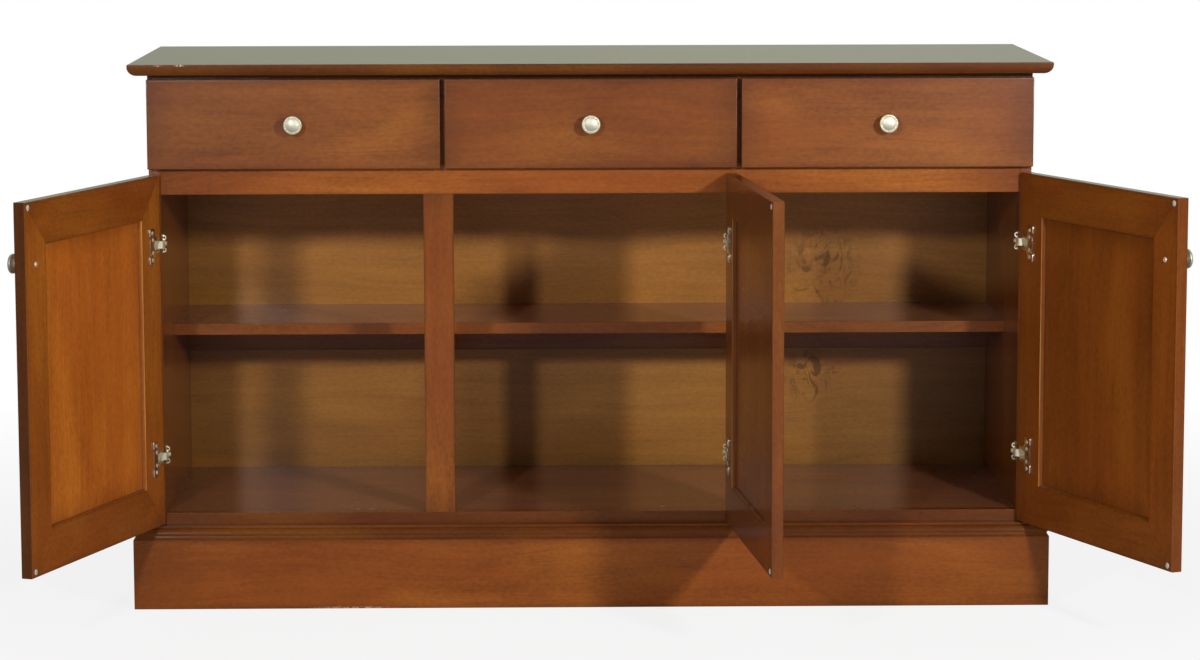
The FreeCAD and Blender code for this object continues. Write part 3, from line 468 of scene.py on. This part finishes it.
def boards_of(mesh_edit):
    """The vertices of each separate board in a mesh."""
    seen = set()
    boards = []
    for start in mesh_edit.verts:
        if start.index in seen:
            continue
        seen.add(start.index)
        found = [start]
        for vertex in found:
            for edge in vertex.link_edges:
                other = edge.other_vert(vertex)
                if other.index not in seen:
                    seen.add(other.index)
                    found.append(other)
        boards.append(found)
    return boards


def lay_grain(mesh_edit, turn, draw, tone, edge):
    """Stores where each vertex lies on its board, in metres and in half extents, and how pale each face is.

    edge is the side that the free edge faces when shut, and the share of the tone that it keeps.
    """
    grain = mesh_edit.verts.layers.float_vector.new("grain")
    half_extents = mesh_edit.verts.layers.float_vector.new("spot")
    pale = mesh_edit.loops.layers.float.new("tone")
    mesh_edit.verts.index_update()
    straight = turn.inverted()
    for board in boards_of(mesh_edit):
        places = [straight @ vertex.co for vertex in board]
        lows = [min(p[axis] for p in places) for axis in range(3)]
        spans = [max(p[axis] for p in places) - lows[axis] for axis in range(3)]
        order = sorted(range(3), key=lambda axis: -spans[axis])
        start = Vector([draw.uniform(0.0, FIGURE_START) for _ in range(3)])
        own_tone = tone * draw.uniform(*TONE_SPREAD)
        for vertex, spot in zip(board, places):
            vertex[grain] = start + Vector([spot[axis] for axis in order])
            vertex[half_extents] = Vector([(spot[axis] - lows[axis]) * 2 / spans[axis] - 1 for axis in order])
            for corner in vertex.link_loops:
                corner[pale] = own_tone
    side, share = edge
    if share != 1.0:
        far = max(side * (straight @ vertex.co).x for vertex in mesh_edit.verts)
        for face in mesh_edit.faces:
            outward = side * (straight.to_3x3() @ face.normal).x
            reach = side * (straight @ face.calc_center_median()).x
            if outward > TOWARD_EDGE and reach > far - FREE_EDGE_REACH:
                for corner in face.loops:
                    corner[pale] *= share


def ease(edit, edges, width, steps):
    """Rounds edges and returns the new narrow faces."""
    return bmesh.ops.bevel(edit, geom=edges, offset=width, segments=steps, profile=0.5, affect="EDGES",
                           clamp_overlap=True)["faces"]


def sharp_edges(edit, crease):
    return [e for e in edit.edges if len(e.link_faces) == 2 and e.calc_face_angle() > math.radians(crease)]


def paint_bead_highlight(edit, side, arris):
    """Marks the step beside the panel, on the hinge side of a door's inner face, for a painted highlight in the
    rubbed-arris colour.
    """
    straight = open_turn(side).inverted()
    places = [straight @ vertex.co for vertex in edit.verts]
    toward = 1.0 if side == "left" else -1.0
    start = min(toward * place.x for place in places) + STILE_TO_STEP
    inner = max(place.y for place in places)
    for face in edit.faces:
        centre = straight @ face.calc_center_median()
        facing_panel = toward * (straight.to_3x3() @ face.normal).x > TOWARD_PANEL
        if facing_panel and abs(toward * centre.x - start) < STEP_REACH and inner - centre.y < STEP_DEPTH:
            for corner in face.loops:
                corner[arris] = 1.0


def dress(node, edge, steps):
    """Copy of a CAD piece with its sharp edges eased, its curves smooth and its grain laid."""
    body = body_of(node)
    rubbing = LOW_RUBBING if node.startswith(LOW_BOARDS) else RUBBING
    edit = solid_form(frame["nodes"][node].data)
    bmesh.ops.dissolve_limit(edit, angle_limit=math.radians(FLAT), verts=edit.verts, edges=edit.edges)
    arris = edit.loops.layers.float.new("arris")
    for face in ease(edit, sharp_edges(edit, SHARP), edge, steps):
        for corner in face.loops:
            corner[arris] = rubbing
    # Painted highlight along the step beside the door's panel
    if node.endswith("door_stiles"):
        paint_bead_highlight(edit, node.split("_")[0], arris)
    tone = STAIN_TONES_AND_PAINTED_SHADE.get(node, 1.0)
    lay_grain(edit, turn_of(body), random.Random(node), tone, EDGE_TONES.get(node, PLAIN_EDGE))
    name = node + "_dressed"
    piece = new_piece(name, finish_mesh(name, edit, BOARD_CREASE), body, SLOT_OF[node], OWN_FINISH.get(node))
    even_normals(piece)
    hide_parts(node)


def even_normals(piece):
    """Keeps broad faces flat where they meet rounded edges."""
    weigh = piece.modifiers.new("flat_faces", "WEIGHTED_NORMAL")
    weigh.keep_sharp = True
    weigh.weight = FLAT_FACE_WEIGHT
    finished = bpy.data.meshes.new_from_object(piece.evaluated_get(bpy.context.evaluated_depsgraph_get()))
    piece.modifiers.clear()
    piece.data = finished


def arc(start, end, sagitta, steps):
    """Points from start up to end on an arc whose middle stands off the chord by the sagitta."""
    (x0, y0), (x1, y1) = start, end
    chord = math.hypot(x1 - x0, y1 - y0)
    radius = (chord * chord / 4 + sagitta * sagitta) / (2 * sagitta)
    nx, ny = (y1 - y0) / chord, (x0 - x1) / chord
    cx = (x0 + x1) / 2 + nx * (sagitta - radius)
    cy = (y0 + y1) / 2 + ny * (sagitta - radius)
    begin = math.atan2(y0 - cy, x0 - cx)
    turn = math.atan2(y1 - cy, x1 - cx) - begin
    turn = math.atan2(math.sin(turn), math.cos(turn))
    size = abs(radius)
    angles = [begin + turn * step / steps for step in range(steps)]
    return [(cx + size * math.cos(angle), cy + size * math.sin(angle)) for angle in angles]


def lathe(profile, place, steps):
    """Turns a profile of (radius, height) about Z, then moves it to its place."""
    edit = bmesh.new()
    rings = []
    for radius, height in profile:
        if radius < 1e-7:
            rings.append([edit.verts.new((0.0, 0.0, height))])
            continue
        angles = [2 * math.pi * step / steps for step in range(steps)]
        rings.append([edit.verts.new((radius * math.cos(angle), radius * math.sin(angle), height))
                      for angle in angles])
    for lower, upper in zip(rings, rings[1:]):
        for step in range(steps):
            after = (step + 1) % steps
            corners = [lower[step % len(lower)], lower[after % len(lower)], upper[after % len(upper)],
                       upper[step % len(upper)]]
            edit.faces.new(list(dict.fromkeys(corners)))
    edit.transform(place)
    bmesh.ops.recalc_face_normals(edit, faces=edit.faces)
    return edit


def finish_mesh(name, edit, crease=FORM_CREASE):
    mesh = bpy.data.meshes.new(name)
    edit.to_mesh(mesh)
    edit.free()
    mesh.shade_smooth()
    mesh.set_sharp_from_angle(angle=math.radians(crease))
    return mesh


# Wood


for node, slot in SLOT_OF.items():
    if node.endswith(("door_stiles", "door_rails")):
        dress(node, *DOOR_FRAME_EDGE)
    elif slot in ("stained_wood", "back_wood", "box_wood"):
        dress(node, *BOARD_EDGE)


# Screws, all copies of one head, set out by one node group


# Sizes of the head, next to its radius
HEAD_RISE = 0.36
HEAD_SHOULDER = 0.10
HEAD_FLAT = 0.66
RECESS_WIDTH = 0.11
RECESS_REACH = 0.46
RECESS_FLOOR = 0.06
RECESS_TAPER = 0.8
HEAD_STEPS = 32
SCREW_PLACES = {}


def mark_screw(body, turn, place, radius):
    """Notes a screw on a body; it faces into the cabinet when the door or drawer is shut."""
    inward = turn.to_3x3() @ Vector((0.0, 1.0, 0.0))
    SCREW_PLACES.setdefault(body, []).append((turn @ Vector(place), inward, radius))


def screw_head():
    """Pan head of unit radius with a cross recess, its seat at Z zero."""
    profile = [(0.0, 0.0), (1.0, 0.0)]
    profile += arc((1.0, HEAD_SHOULDER), (HEAD_FLAT, HEAD_RISE), 0.05, 6) + [(HEAD_FLAT, HEAD_RISE)]
    edit = lathe(profile, Matrix.Identity(4), HEAD_STEPS)
    rim = [edge for edge in edit.edges if edge.is_boundary]
    wide, long = RECESS_WIDTH, RECESS_REACH
    cross = [(wide, long), (-wide, long), (-wide, wide), (-long, wide), (-long, -wide), (-wide, -wide),
             (-wide, -long), (wide, -long), (wide, -wide), (long, -wide), (long, wide), (wide, wide)]
    upper = [edit.verts.new((x, y, HEAD_RISE)) for x, y in cross]
    lower = [edit.verts.new((x * RECESS_TAPER, y * RECESS_TAPER, RECESS_FLOOR)) for x, y in cross]
    for step, corner in enumerate(upper):
        after = (step + 1) % len(upper)
        rim.append(edit.edges.new((corner, upper[after])))
        edit.faces.new((corner, upper[after], lower[after], lower[step]))
    bmesh.ops.triangle_fill(edit, use_beauty=True, edges=rim, normal=(0.0, 0.0, 1.0))
    edit.faces.new(lower)
    bmesh.ops.recalc_face_normals(edit, faces=edit.faces)
    return finish_mesh("screw_head", edit)


def screw_layout():
    """Node group: one screw on each point, facing the point's way, each turned by a random angle."""
    tree = bpy.data.node_groups.new("screw_layout", "GeometryNodeTree")
    sockets = tree.interface
    sockets.new_socket("Points", in_out="INPUT", socket_type="NodeSocketGeometry")
    sockets.new_socket("Screw", in_out="INPUT", socket_type="NodeSocketObject")
    sockets.new_socket("Turn Seed", in_out="INPUT", socket_type="NodeSocketInt")
    sockets.new_socket("Finish", in_out="INPUT", socket_type="NodeSocketMaterial")
    sockets.new_socket("Screws", in_out="OUTPUT", socket_type="NodeSocketGeometry")
    make = tree.nodes.new
    link = tree.links.new
    given = make("NodeGroupInput")
    form = make("GeometryNodeObjectInfo")
    link(given.outputs["Screw"], form.inputs["Object"])
    way = make("GeometryNodeInputNamedAttribute")
    way.data_type = "FLOAT_VECTOR"
    way.inputs["Name"].default_value = "facing"
    size = make("GeometryNodeInputNamedAttribute")
    size.data_type = "FLOAT"
    size.inputs["Name"].default_value = "radius"
    stand = make("FunctionNodeAlignRotationToVector")
    stand.axis = "Z"
    link(way.outputs["Attribute"], stand.inputs["Vector"])
    chance = make("FunctionNodeRandomValue")
    chance.data_type = "FLOAT"
    chance.inputs[2].default_value = 0.0
    chance.inputs[3].default_value = math.pi
    link(given.outputs["Turn Seed"], chance.inputs["Seed"])
    spin = make("FunctionNodeAxisAngleToRotation")
    spin.inputs["Axis"].default_value = (0.0, 0.0, 1.0)
    link(chance.outputs[1], spin.inputs["Angle"])
    both = make("FunctionNodeRotateRotation")
    both.rotation_space = "LOCAL"
    link(stand.outputs["Rotation"], both.inputs["Rotation"])
    link(spin.outputs["Rotation"], both.inputs["Rotate By"])
    spread = make("GeometryNodeInstanceOnPoints")
    link(given.outputs["Points"], spread.inputs["Points"])
    link(form.outputs["Geometry"], spread.inputs["Instance"])
    link(both.outputs["Rotation"], spread.inputs["Rotation"])
    link(size.outputs["Attribute"], spread.inputs["Scale"])
    real = make("GeometryNodeRealizeInstances")
    link(spread.outputs["Instances"], real.inputs["Geometry"])
    paint = make("GeometryNodeSetMaterial")
    link(real.outputs["Geometry"], paint.inputs["Geometry"])
    link(given.outputs["Finish"], paint.inputs["Material"])
    result = make("NodeGroupOutput")
    link(paint.outputs["Geometry"], result.inputs["Screws"])
    return tree


def drive_screws(body, places, tree, form, seed):
    """One mesh with all the screws of a body."""
    points = bpy.data.meshes.new(body + "_screw_points")
    points.from_pydata([place for place, _, _ in places], [], [])
    points.attributes.new("facing", "FLOAT_VECTOR", "POINT")
    points.attributes.new("radius", "FLOAT", "POINT")
    for index, (_, way, radius) in enumerate(places):
        points.attributes["facing"].data[index].vector = way
        points.attributes["radius"].data[index].value = radius
    layout = bpy.data.objects.new(body + "_screw_layout", points)
    scene.collection.objects.link(layout)
    modifier = layout.modifiers.new("screws", "NODES")
    modifier.node_group = tree
    values = {"Screw": form, "Turn Seed": seed, "Finish": FINISHES["nickel"]}
    for item in tree.interface.items_tree:
        if item.in_out == "INPUT" and item.name in values:
            modifier[item.identifier] = values[item.name]
    mesh = bpy.data.meshes.new_from_object(layout.evaluated_get(bpy.context.evaluated_depsgraph_get()))
    mesh.name = body + "_screws"
    bpy.data.objects.remove(layout)
    new_piece(body + "_screws", mesh, body, "nickel")


def drive_all_screws():
    form = bpy.data.objects.new("screw_form", screw_head())
    scene.collection.objects.link(form)
    tree = screw_layout()
    for seed, (body, places) in enumerate(sorted(SCREW_PLACES.items())):
        drive_screws(body, places, tree, form, seed)
    bpy.data.objects.remove(form)


# Knobs


# Radius and height of the knob's outline: foot, neck, bowl, rim, groove and dome
KNOB_PROFILE = (
    [(0.0, 0.0), (0.0085, 0.0), (0.0085, 0.0014), (0.0080, 0.0022)]
    + arc((0.0074, 0.0024), (0.0060, 0.0062), -0.0006, 5)
    + [(0.0060, 0.0062), (0.0060, 0.0088)]
    + arc((0.0060, 0.0090), (0.0152, 0.0182), -0.0026, 10)
    + arc((0.0152, 0.0184), (0.0155, 0.0196), 0.0001, 3)
    + arc((0.0155, 0.0214), (0.0140, 0.0228), 0.0004, 6)
    + [(0.0135, 0.0228)]
    + arc((0.0132, 0.0225), (0.0108, 0.0225), -0.0010, 8)
    + arc((0.0105, 0.0230), (0.0, 0.0248), 0.0004, 10)
    + [(0.0, 0.0248)]
)
KNOB_SCREW = 0.0044
KNOB_STEPS = 64
# From a door's free edge and its top
DOOR_KNOB_INSET = 0.035
DOOR_KNOB_DROP = 0.099
BUMPER_INSET = 0.012
BUMPER_DROP = 0.009
BUMPER_STEPS = 32


def facing(point, direction):
    """Matrix that stands a turned piece on a point with its axis along a direction."""
    return Matrix.Translation(point) @ Vector(direction).to_track_quat("Z", "Y").to_matrix().to_4x4()


def shut_box(side, kind):
    """Box of a door's node as it is when the door is shut."""
    back = open_turn(side).inverted()
    corners = [back @ vertex.co for vertex in frame["nodes"][f"{side}_door_{kind}"].data.vertices]
    low = Vector([min(c[axis] for c in corners) for axis in range(3)])
    high = Vector([max(c[axis] for c in corners) for axis in range(3)])
    return low, high


def make_knob(body, foot, back, turn):
    """Knob on the outer face, and the place of its screw on the inner face."""
    name = body + "_knob_turned"
    form = lathe(KNOB_PROFILE, turn @ facing(foot, (0, -1, 0)), KNOB_STEPS)
    knob = new_piece(name, finish_mesh(name, form), body, "nickel", pearly)
    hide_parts(body + "_knob")
    mark_screw(body, turn, back, KNOB_SCREW)


def make_drawer_knob(side):
    low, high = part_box(side + "_drawer_front")
    _, box_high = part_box(side + "_drawer_knob")
    centre = (low + high) / 2
    seat = box_high.y - KNOB_SCREW * HEAD_RISE
    foot = Vector((centre.x, low.y, centre.z))
    make_knob(side + "_drawer", foot, Vector((centre.x, seat, centre.z)), Matrix.Identity(4))


def make_door_knob(side):
    low, high = shut_box(side, "stiles")
    x = high.x - DOOR_KNOB_INSET if side == "left" else low.x + DOOR_KNOB_INSET
    z = high.z - DOOR_KNOB_DROP
    make_knob(side + "_door", Vector((x, low.y, z)), Vector((x, high.y, z)), open_turn(side))


def make_bumpers(side):
    """Two clear domed pads near the free corners of a door's inner face."""
    low, high = shut_box(side, "stiles")
    box_low, box_high = shut_box(side, "bumpers")
    x = high.x - BUMPER_INSET if side == "left" else low.x + BUMPER_INSET
    tall = box_high.y - box_low.y
    wide = (box_high.x - box_low.x) / 2
    profile = [(0.0, 0.0), (wide, 0.0), (wide, tall * 0.2)]
    profile += arc((wide, tall * 0.25), (0.0, tall), tall * 0.35, 9) + [(0.0, tall)]
    both = bmesh.new()
    for z in (low.z + BUMPER_DROP, high.z - BUMPER_DROP):
        pad = lathe(profile, open_turn(side) @ facing(Vector((x, box_low.y, z)), (0, 1, 0)), BUMPER_STEPS)
        part = finish_mesh("pad", pad)
        both.from_mesh(part)
        bpy.data.meshes.remove(part)
    name = side + "_door_pads"
    piece = new_piece(name, finish_mesh(name, both), side + "_door", "clear_bumper")
    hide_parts(side + "_door_bumpers")


for side in SIDES:
    make_drawer_knob(side)
    make_bumpers(side)
for side in KNOBBED_DOORS:
    make_door_knob(side)


# Hinges and slides


HINGE_HEIGHTS = (0.257, 0.613)
# From the pivot to the door's inner face, where the flange lies
PIVOT_TO_FACE = 0.011
FLANGE_THICKNESS = 0.0014
FLANGE_EDGE = 0.00025
# The slot in the flange that its arm passes through, from its start beside the pivot
SLOT_START = 0.0012
SLOT_REACH = 0.0192
SLOT_HALF = 0.0063
# Distance along and up from the pivot, and radius; the screws stand on a washer
HINGE_SCREW = (0.0265, 0.0225, 0.0035)
WASHER = 0.0007
CAM_PLACE = (0.0250, 0.0108, 0.0034)
CAM_STEPS = 24
CAM_SIDE = 0.0002
CAM_RISE = 0.0007
# From each hinge's pivot to the edge of the stile that its arm is screwed to
STILE_EDGE = {"left": 0.013, "middle": 0.007167, "right": 0.013}
# Half of the flange's outline above its centre line, from the pivot side round to the far side
FLANGE_HALF = [(SLOT_START, 0.0130), (0.0125, 0.0130), (0.0150, 0.0142), (0.0168, 0.0165), (0.0180, 0.0195),
               (0.0186, 0.0230), (0.0188, 0.0270), (0.0196, 0.0291), (0.0216, 0.0300), (0.0352, 0.0300),
               (0.0373, 0.0292), (0.0380, 0.0272), (0.0380, 0.0178), (0.0374, 0.0162), (0.0352, 0.0156),
               (0.0334, 0.0146), (0.0330, 0.0125), (0.0340, 0.0080), (0.0344, 0.0030)]
# Raised lip along the far edge of an ear, and how far it reaches into the flange and above it
EAR_LIP = [(0.0352, 0.0178), (0.0376, 0.0178), (0.0379, 0.0185), (0.0379, 0.0275), (0.0372, 0.0290),
           (0.0352, 0.0297)]
LIP_BELOW = 0.0002
LIP_ABOVE = 0.0006
SMALL_EDGE = 0.0002
# Two points closer than this are one, when a pocket is cut off flush with the door's face
NEAR_PLANE = 0.00002
ON_PLANE = 0.00001
# Half of the outline of the arm's front tab, one of its two holes, and the depths that the tab lies between
TAB_HALF = [(0.0, 0.0145), (0.0048, 0.0145), (0.0068, 0.0134), (0.0079, 0.0112), (0.0079, 0.0088),
            (0.0068, 0.0070), (0.0050, 0.0062), (0.0046, 0.0050)]
TAB_HOLE = (0.0040, 0.0102, 0.0021)
TAB_DEPTH = (0.0150, 0.0164)


def sheet_form(loops, low, high, edge):
    """Plate between two Y values; the first loop of (x, z) is its outline and the rest are holes."""
    edit = bmesh.new()
    levels = []
    for y in (low, high):
        rings = []
        rims = []
        for loop in loops:
            ring = [edit.verts.new((x, y, z)) for x, z in loop]
            rims += [edit.edges.new(pair) for pair in zip(ring, ring[1:] + ring[:1])]
            rings.append(ring)
        bmesh.ops.triangle_fill(edit, use_beauty=True, edges=rims, normal=(0.0, 1.0, 0.0))
        levels.append(rings)
    for lower, upper in zip(*levels):
        for step, corner in enumerate(lower):
            after = (step + 1) % len(lower)
            edit.faces.new((corner, lower[after], upper[after], upper[step]))
    bmesh.ops.recalc_face_normals(edit, faces=edit.faces)
    bmesh.ops.dissolve_limit(edit, angle_limit=math.radians(0.5), verts=edit.verts, edges=edit.edges)
    ease(edit, sharp_edges(edit, 60.0), edge, 2)
    return edit


def circle(x, z, radius, steps=20):
    angles = [2 * math.pi * step / steps for step in range(steps)]
    return [(x + radius * math.cos(angle), z + radius * math.sin(angle)) for angle in angles]


def mirrored(half):
    return half + [(x, -z) for x, z in reversed(half)]


def at_hinge(side, height):
    """From a hinge's own frame, with X running from its pivot onto the door, to the shut door."""
    pivot = Vector(hinge_of(side)["pos_m"])
    flip = 1.0 if side == "left" else -1.0
    return Matrix.Translation((pivot.x, pivot.y, height)) @ Matrix.Diagonal((flip, 1.0, 1.0, 1.0))


def add_to(whole, edit, place):
    """Moves a form to its place and adds it to a mesh, its faces kept outward."""
    edit.transform(place)
    if place.determinant() < 0:
        bmesh.ops.reverse_faces(edit, faces=edit.faces)
    part = bpy.data.meshes.new("part")
    edit.to_mesh(part)
    edit.free()
    whole.from_mesh(part)
    bpy.data.meshes.remove(part)


def pockets_of(side, turn):
    """A door's hinge pockets, cut off flush with its inner face and closed again."""
    whole = solid_form(frame["nodes"][side + "_door_hinges"].data)
    whole.transform(turn.inverted())
    face_plane = Vector(hinge_of(side)["pos_m"]) + Vector((0.0, PIVOT_TO_FACE, 0.0))
    for vertex in whole.verts:
        if abs(vertex.co.y - face_plane.y) < NEAR_PLANE:
            vertex.co.y = face_plane.y
    bmesh.ops.bisect_plane(whole, geom=whole.verts[:] + whole.edges[:] + whole.faces[:], plane_co=face_plane,
                           plane_no=(0.0, 1.0, 0.0), clear_outer=True, dist=ON_PLANE / 2)
    bmesh.ops.remove_doubles(whole, verts=whole.verts, dist=ON_PLANE)
    flat = [face for face in whole.faces if all(abs(v.co.y - face_plane.y) < ON_PLANE for v in face.verts)]
    bmesh.ops.delete(whole, geom=flat, context="FACES")
    rim = [edge for edge in whole.edges if edge.is_boundary]
    bmesh.ops.triangle_fill(whole, use_beauty=True, edges=rim, normal=(0.0, 1.0, 0.0))
    bmesh.ops.recalc_face_normals(whole, faces=whole.faces)
    whole.transform(turn)
    return whole


def make_hinges(side):
    """Stamped flange with rounded ears, two cams and two screws over each hinge's pocket."""
    body = side + "_door"
    turn = open_turn(side)
    whole = pockets_of(side, turn)
    low = PIVOT_TO_FACE
    high = low + FLANGE_THICKNESS
    outline = mirrored(FLANGE_HALF)
    slot = [(SLOT_REACH, SLOT_HALF), (SLOT_START, SLOT_HALF)]
    outline += [(x, -z) for x, z in reversed(slot)] + slot
    reach, rise, radius = CAM_PLACE
    cam = [(0.0, 0.0), (radius, 0.0), (radius, CAM_SIDE)]
    cam += arc((radius, 0.0003), (0.0, CAM_RISE), 0.0003, 6) + [(0.0, CAM_RISE)]
    bright = bmesh.new()
    for height in HINGE_HEIGHTS:
        place = turn @ at_hinge(side, height)
        add_to(whole, sheet_form([outline], low, high, FLANGE_EDGE), place)
        for hand in (-1, 1):
            lift = Matrix.Translation((reach, high, rise * hand)) @ facing((0, 0, 0), (0, 1, 0))
            add_to(bright, lathe(cam, lift, CAM_STEPS), place)
            lip = [(x, z * hand) for x, z in EAR_LIP]
            add_to(bright, sheet_form([lip], high - LIP_BELOW, high + LIP_ABOVE, SMALL_EDGE), place)
            x, z, screw = HINGE_SCREW
            seat = at_hinge(side, height) @ Vector((x, high + WASHER - screw * HEAD_RISE, z * hand))
            mark_screw(body, turn, seat, screw)
    name = body + "_hinge_plates"
    piece = new_piece(name, finish_mesh(name, whole), body, "nickel", plated)
    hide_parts(body + "_hinges")
    name = body + "_hinge_cams"
    new_piece(name, finish_mesh(name, bright), body, "nickel")


def make_arm_tabs():
    """Front tab of each hinge arm, with two holes, standing off the stile's inner edge."""
    whole = bmesh.new()
    x, z, radius = TAB_HOLE
    for side in SIDES:
        edge = STILE_EDGE[side]
        outline = [(edge + across, up) for across, up in mirrored(TAB_HALF)]
        holes = [circle(edge + x, z * hand, radius) for hand in (-1, 1)]
        for height in HINGE_HEIGHTS:
            add_to(whole, sheet_form([outline] + holes, *TAB_DEPTH, SMALL_EDGE), at_hinge(side, height))
    new_piece("hinge_arm_tabs", finish_mesh("hinge_arm_tabs", whole), "case", "nickel")


for side in SIDES:
    make_hinges(side)
    dress(side + "_drawer_slides", *METAL_EDGE)
dress("hinge_arms", *METAL_EDGE)
dress("slide_channels", *METAL_EDGE)
make_arm_tabs()
drive_all_screws()


# Floor, light and camera


FLOOR_REACH = 60.0
# Round the object the floor is as the lamps leave it, with the shadow; it turns white toward the distance
SHADOW_REACH = (1.0, 2.4)
SHADOW_WHITE = (0.84, 1.0)


def make_floor():
    edit = bmesh.new()
    corners = ((-FLOOR_REACH, -FLOOR_REACH), (FLOOR_REACH, -FLOOR_REACH), (FLOOR_REACH, FLOOR_REACH),
               (-FLOOR_REACH, FLOOR_REACH))
    edit.faces.new([edit.verts.new((x, y, 0.0)) for x, y in corners])
    f = new_shading("pale_floor")
    grain = f.noise(f.place(), scale=3.0, detail=3.0)
    color = f.blend(f.span(grain, 0.3, 0.7), PALE_FLOOR, times(PALE_FLOOR, 0.985))
    path = f.node("LightPath").outputs
    # Painted reflection: glossy rays see the floor dark grey instead of its own pale colour
    color = f.blend(path["Is Glossy Ray"], color, MIRRORED_FLOOR)
    matt = f.node("BsdfDiffuse")
    f.feed(matt.inputs["Color"], color)
    white = f.node("Emission")
    seen = f.sum("MAXIMUM", path["Is Camera Ray"], path["Is Transmission Ray"])
    far = f.span(f.length(f.place()), *SHADOW_REACH, *SHADOW_WHITE)
    mix = f.node("MixShader")
    f.feed(mix.inputs[0], f.sum("MULTIPLY", seen, far))
    f.feed(mix.inputs[1], matt.outputs[0])
    f.feed(mix.inputs[2], white.outputs[0])
    f.feed(f.output.inputs["Surface"], mix.outputs[0])
    mesh = bpy.data.meshes.new("floor")
    edit.to_mesh(mesh)
    edit.free()
    floor = bpy.data.objects.new("floor", mesh)
    floor.data.materials.append(f.holder)
    scene.collection.objects.link(floor)


# How bright the surroundings are as even light, and in reflections from the front, the left and behind
EVEN_LIGHT = 0.26
FROM_FRONT = 0.09
FROM_LEFT = 0.86
FROM_BEHIND = 0.56


def make_world():
    """White to the eye; a soft even fill; in reflections, dim in front of the object and bright behind it."""
    world = bpy.data.worlds.new("studio")
    scene.world = world
    f = Shading(world)
    path = f.node("LightPath").outputs
    way = f.split(f.place())
    to_right = f.span(way["X"], -0.12, 0.12, FROM_LEFT, 1.04)
    mirrored = f.span(way["Y"], -0.15, 0.45, FROM_FRONT, to_right)
    mirrored = f.span(mirrored, 0.0, 1.0, 0.0, FROM_BEHIND)
    soft = f.span(path["Is Glossy Ray"], 0.0, 1.0, EVEN_LIGHT, mirrored)
    clear = f.span(path["Is Transmission Ray"], 0.0, 1.0, soft, 1.0)
    shown = f.span(path["Is Camera Ray"], 0.0, 1.0, clear, 1.0)
    background = f.node("Background")
    f.feed(background.inputs["Strength"], shown)
    f.feed(background.inputs["Color"], f.blend(path["Is Glossy Ray"], WHITE, REFLECTED_LIGHT))
    f.feed(f.output.inputs["Surface"], background.outputs[0])


# Each lamp's place and watts
LAMPS = {
    "right_lamp": ((1.62, -3.05, 1.48), 52.0),
    "left_lamp": ((-1.51, -4.41, 1.87), 54.0),
}
LAMP_AIM = Vector((0.0, -0.2, 0.45))
LAMP_SIZE = 0.28


def add_lamp(name, place, watts):
    lamp = bpy.data.lights.new(name, "AREA")
    lamp.shape = "DISK"
    lamp.size = LAMP_SIZE
    lamp.energy = watts
    holder = bpy.data.objects.new(name, lamp)
    holder.location = place
    holder.rotation_euler = (LAMP_AIM - Vector(place)).to_track_quat("-Z", "Y").to_euler()
    scene.collection.objects.link(holder)


CAMERA_PLACE = Vector((-0.0718, -6.30885, 1.2865))
CAMERA_TILT = 7.6824
CAMERA_YAW = 0.8140
CAMERA_ROLL = -0.1169
CAMERA_LENS = 110.142
SENSOR_WIDTH = 36.0
VIEW_DEPTH = 200.0


def make_camera():
    tilt, yaw, roll = (math.radians(angle) for angle in (CAMERA_TILT, CAMERA_YAW, CAMERA_ROLL))
    ahead = Vector((math.sin(yaw) * math.cos(tilt), math.cos(yaw) * math.cos(tilt), -math.sin(tilt)))
    across = Vector((math.cos(yaw), -math.sin(yaw), 0.0))
    above = across.cross(ahead)
    right = math.cos(roll) * across + math.sin(roll) * above
    up = -math.sin(roll) * across + math.cos(roll) * above
    data = bpy.data.cameras.new("camera")
    data.lens = CAMERA_LENS
    data.sensor_width = SENSOR_WIDTH
    data.sensor_fit = "HORIZONTAL"
    data.clip_end = VIEW_DEPTH
    camera = bpy.data.objects.new("camera", data)
    camera.matrix_world = Matrix.Translation(CAMERA_PLACE) @ Matrix((right, up, -ahead)).transposed().to_4x4()
    scene.collection.objects.link(camera)
    scene.camera = camera


make_floor()
make_world()
for name, (place, watts) in LAMPS.items():
    add_lamp(name, place, watts)
make_camera()
scene.view_settings.view_transform = "Standard"
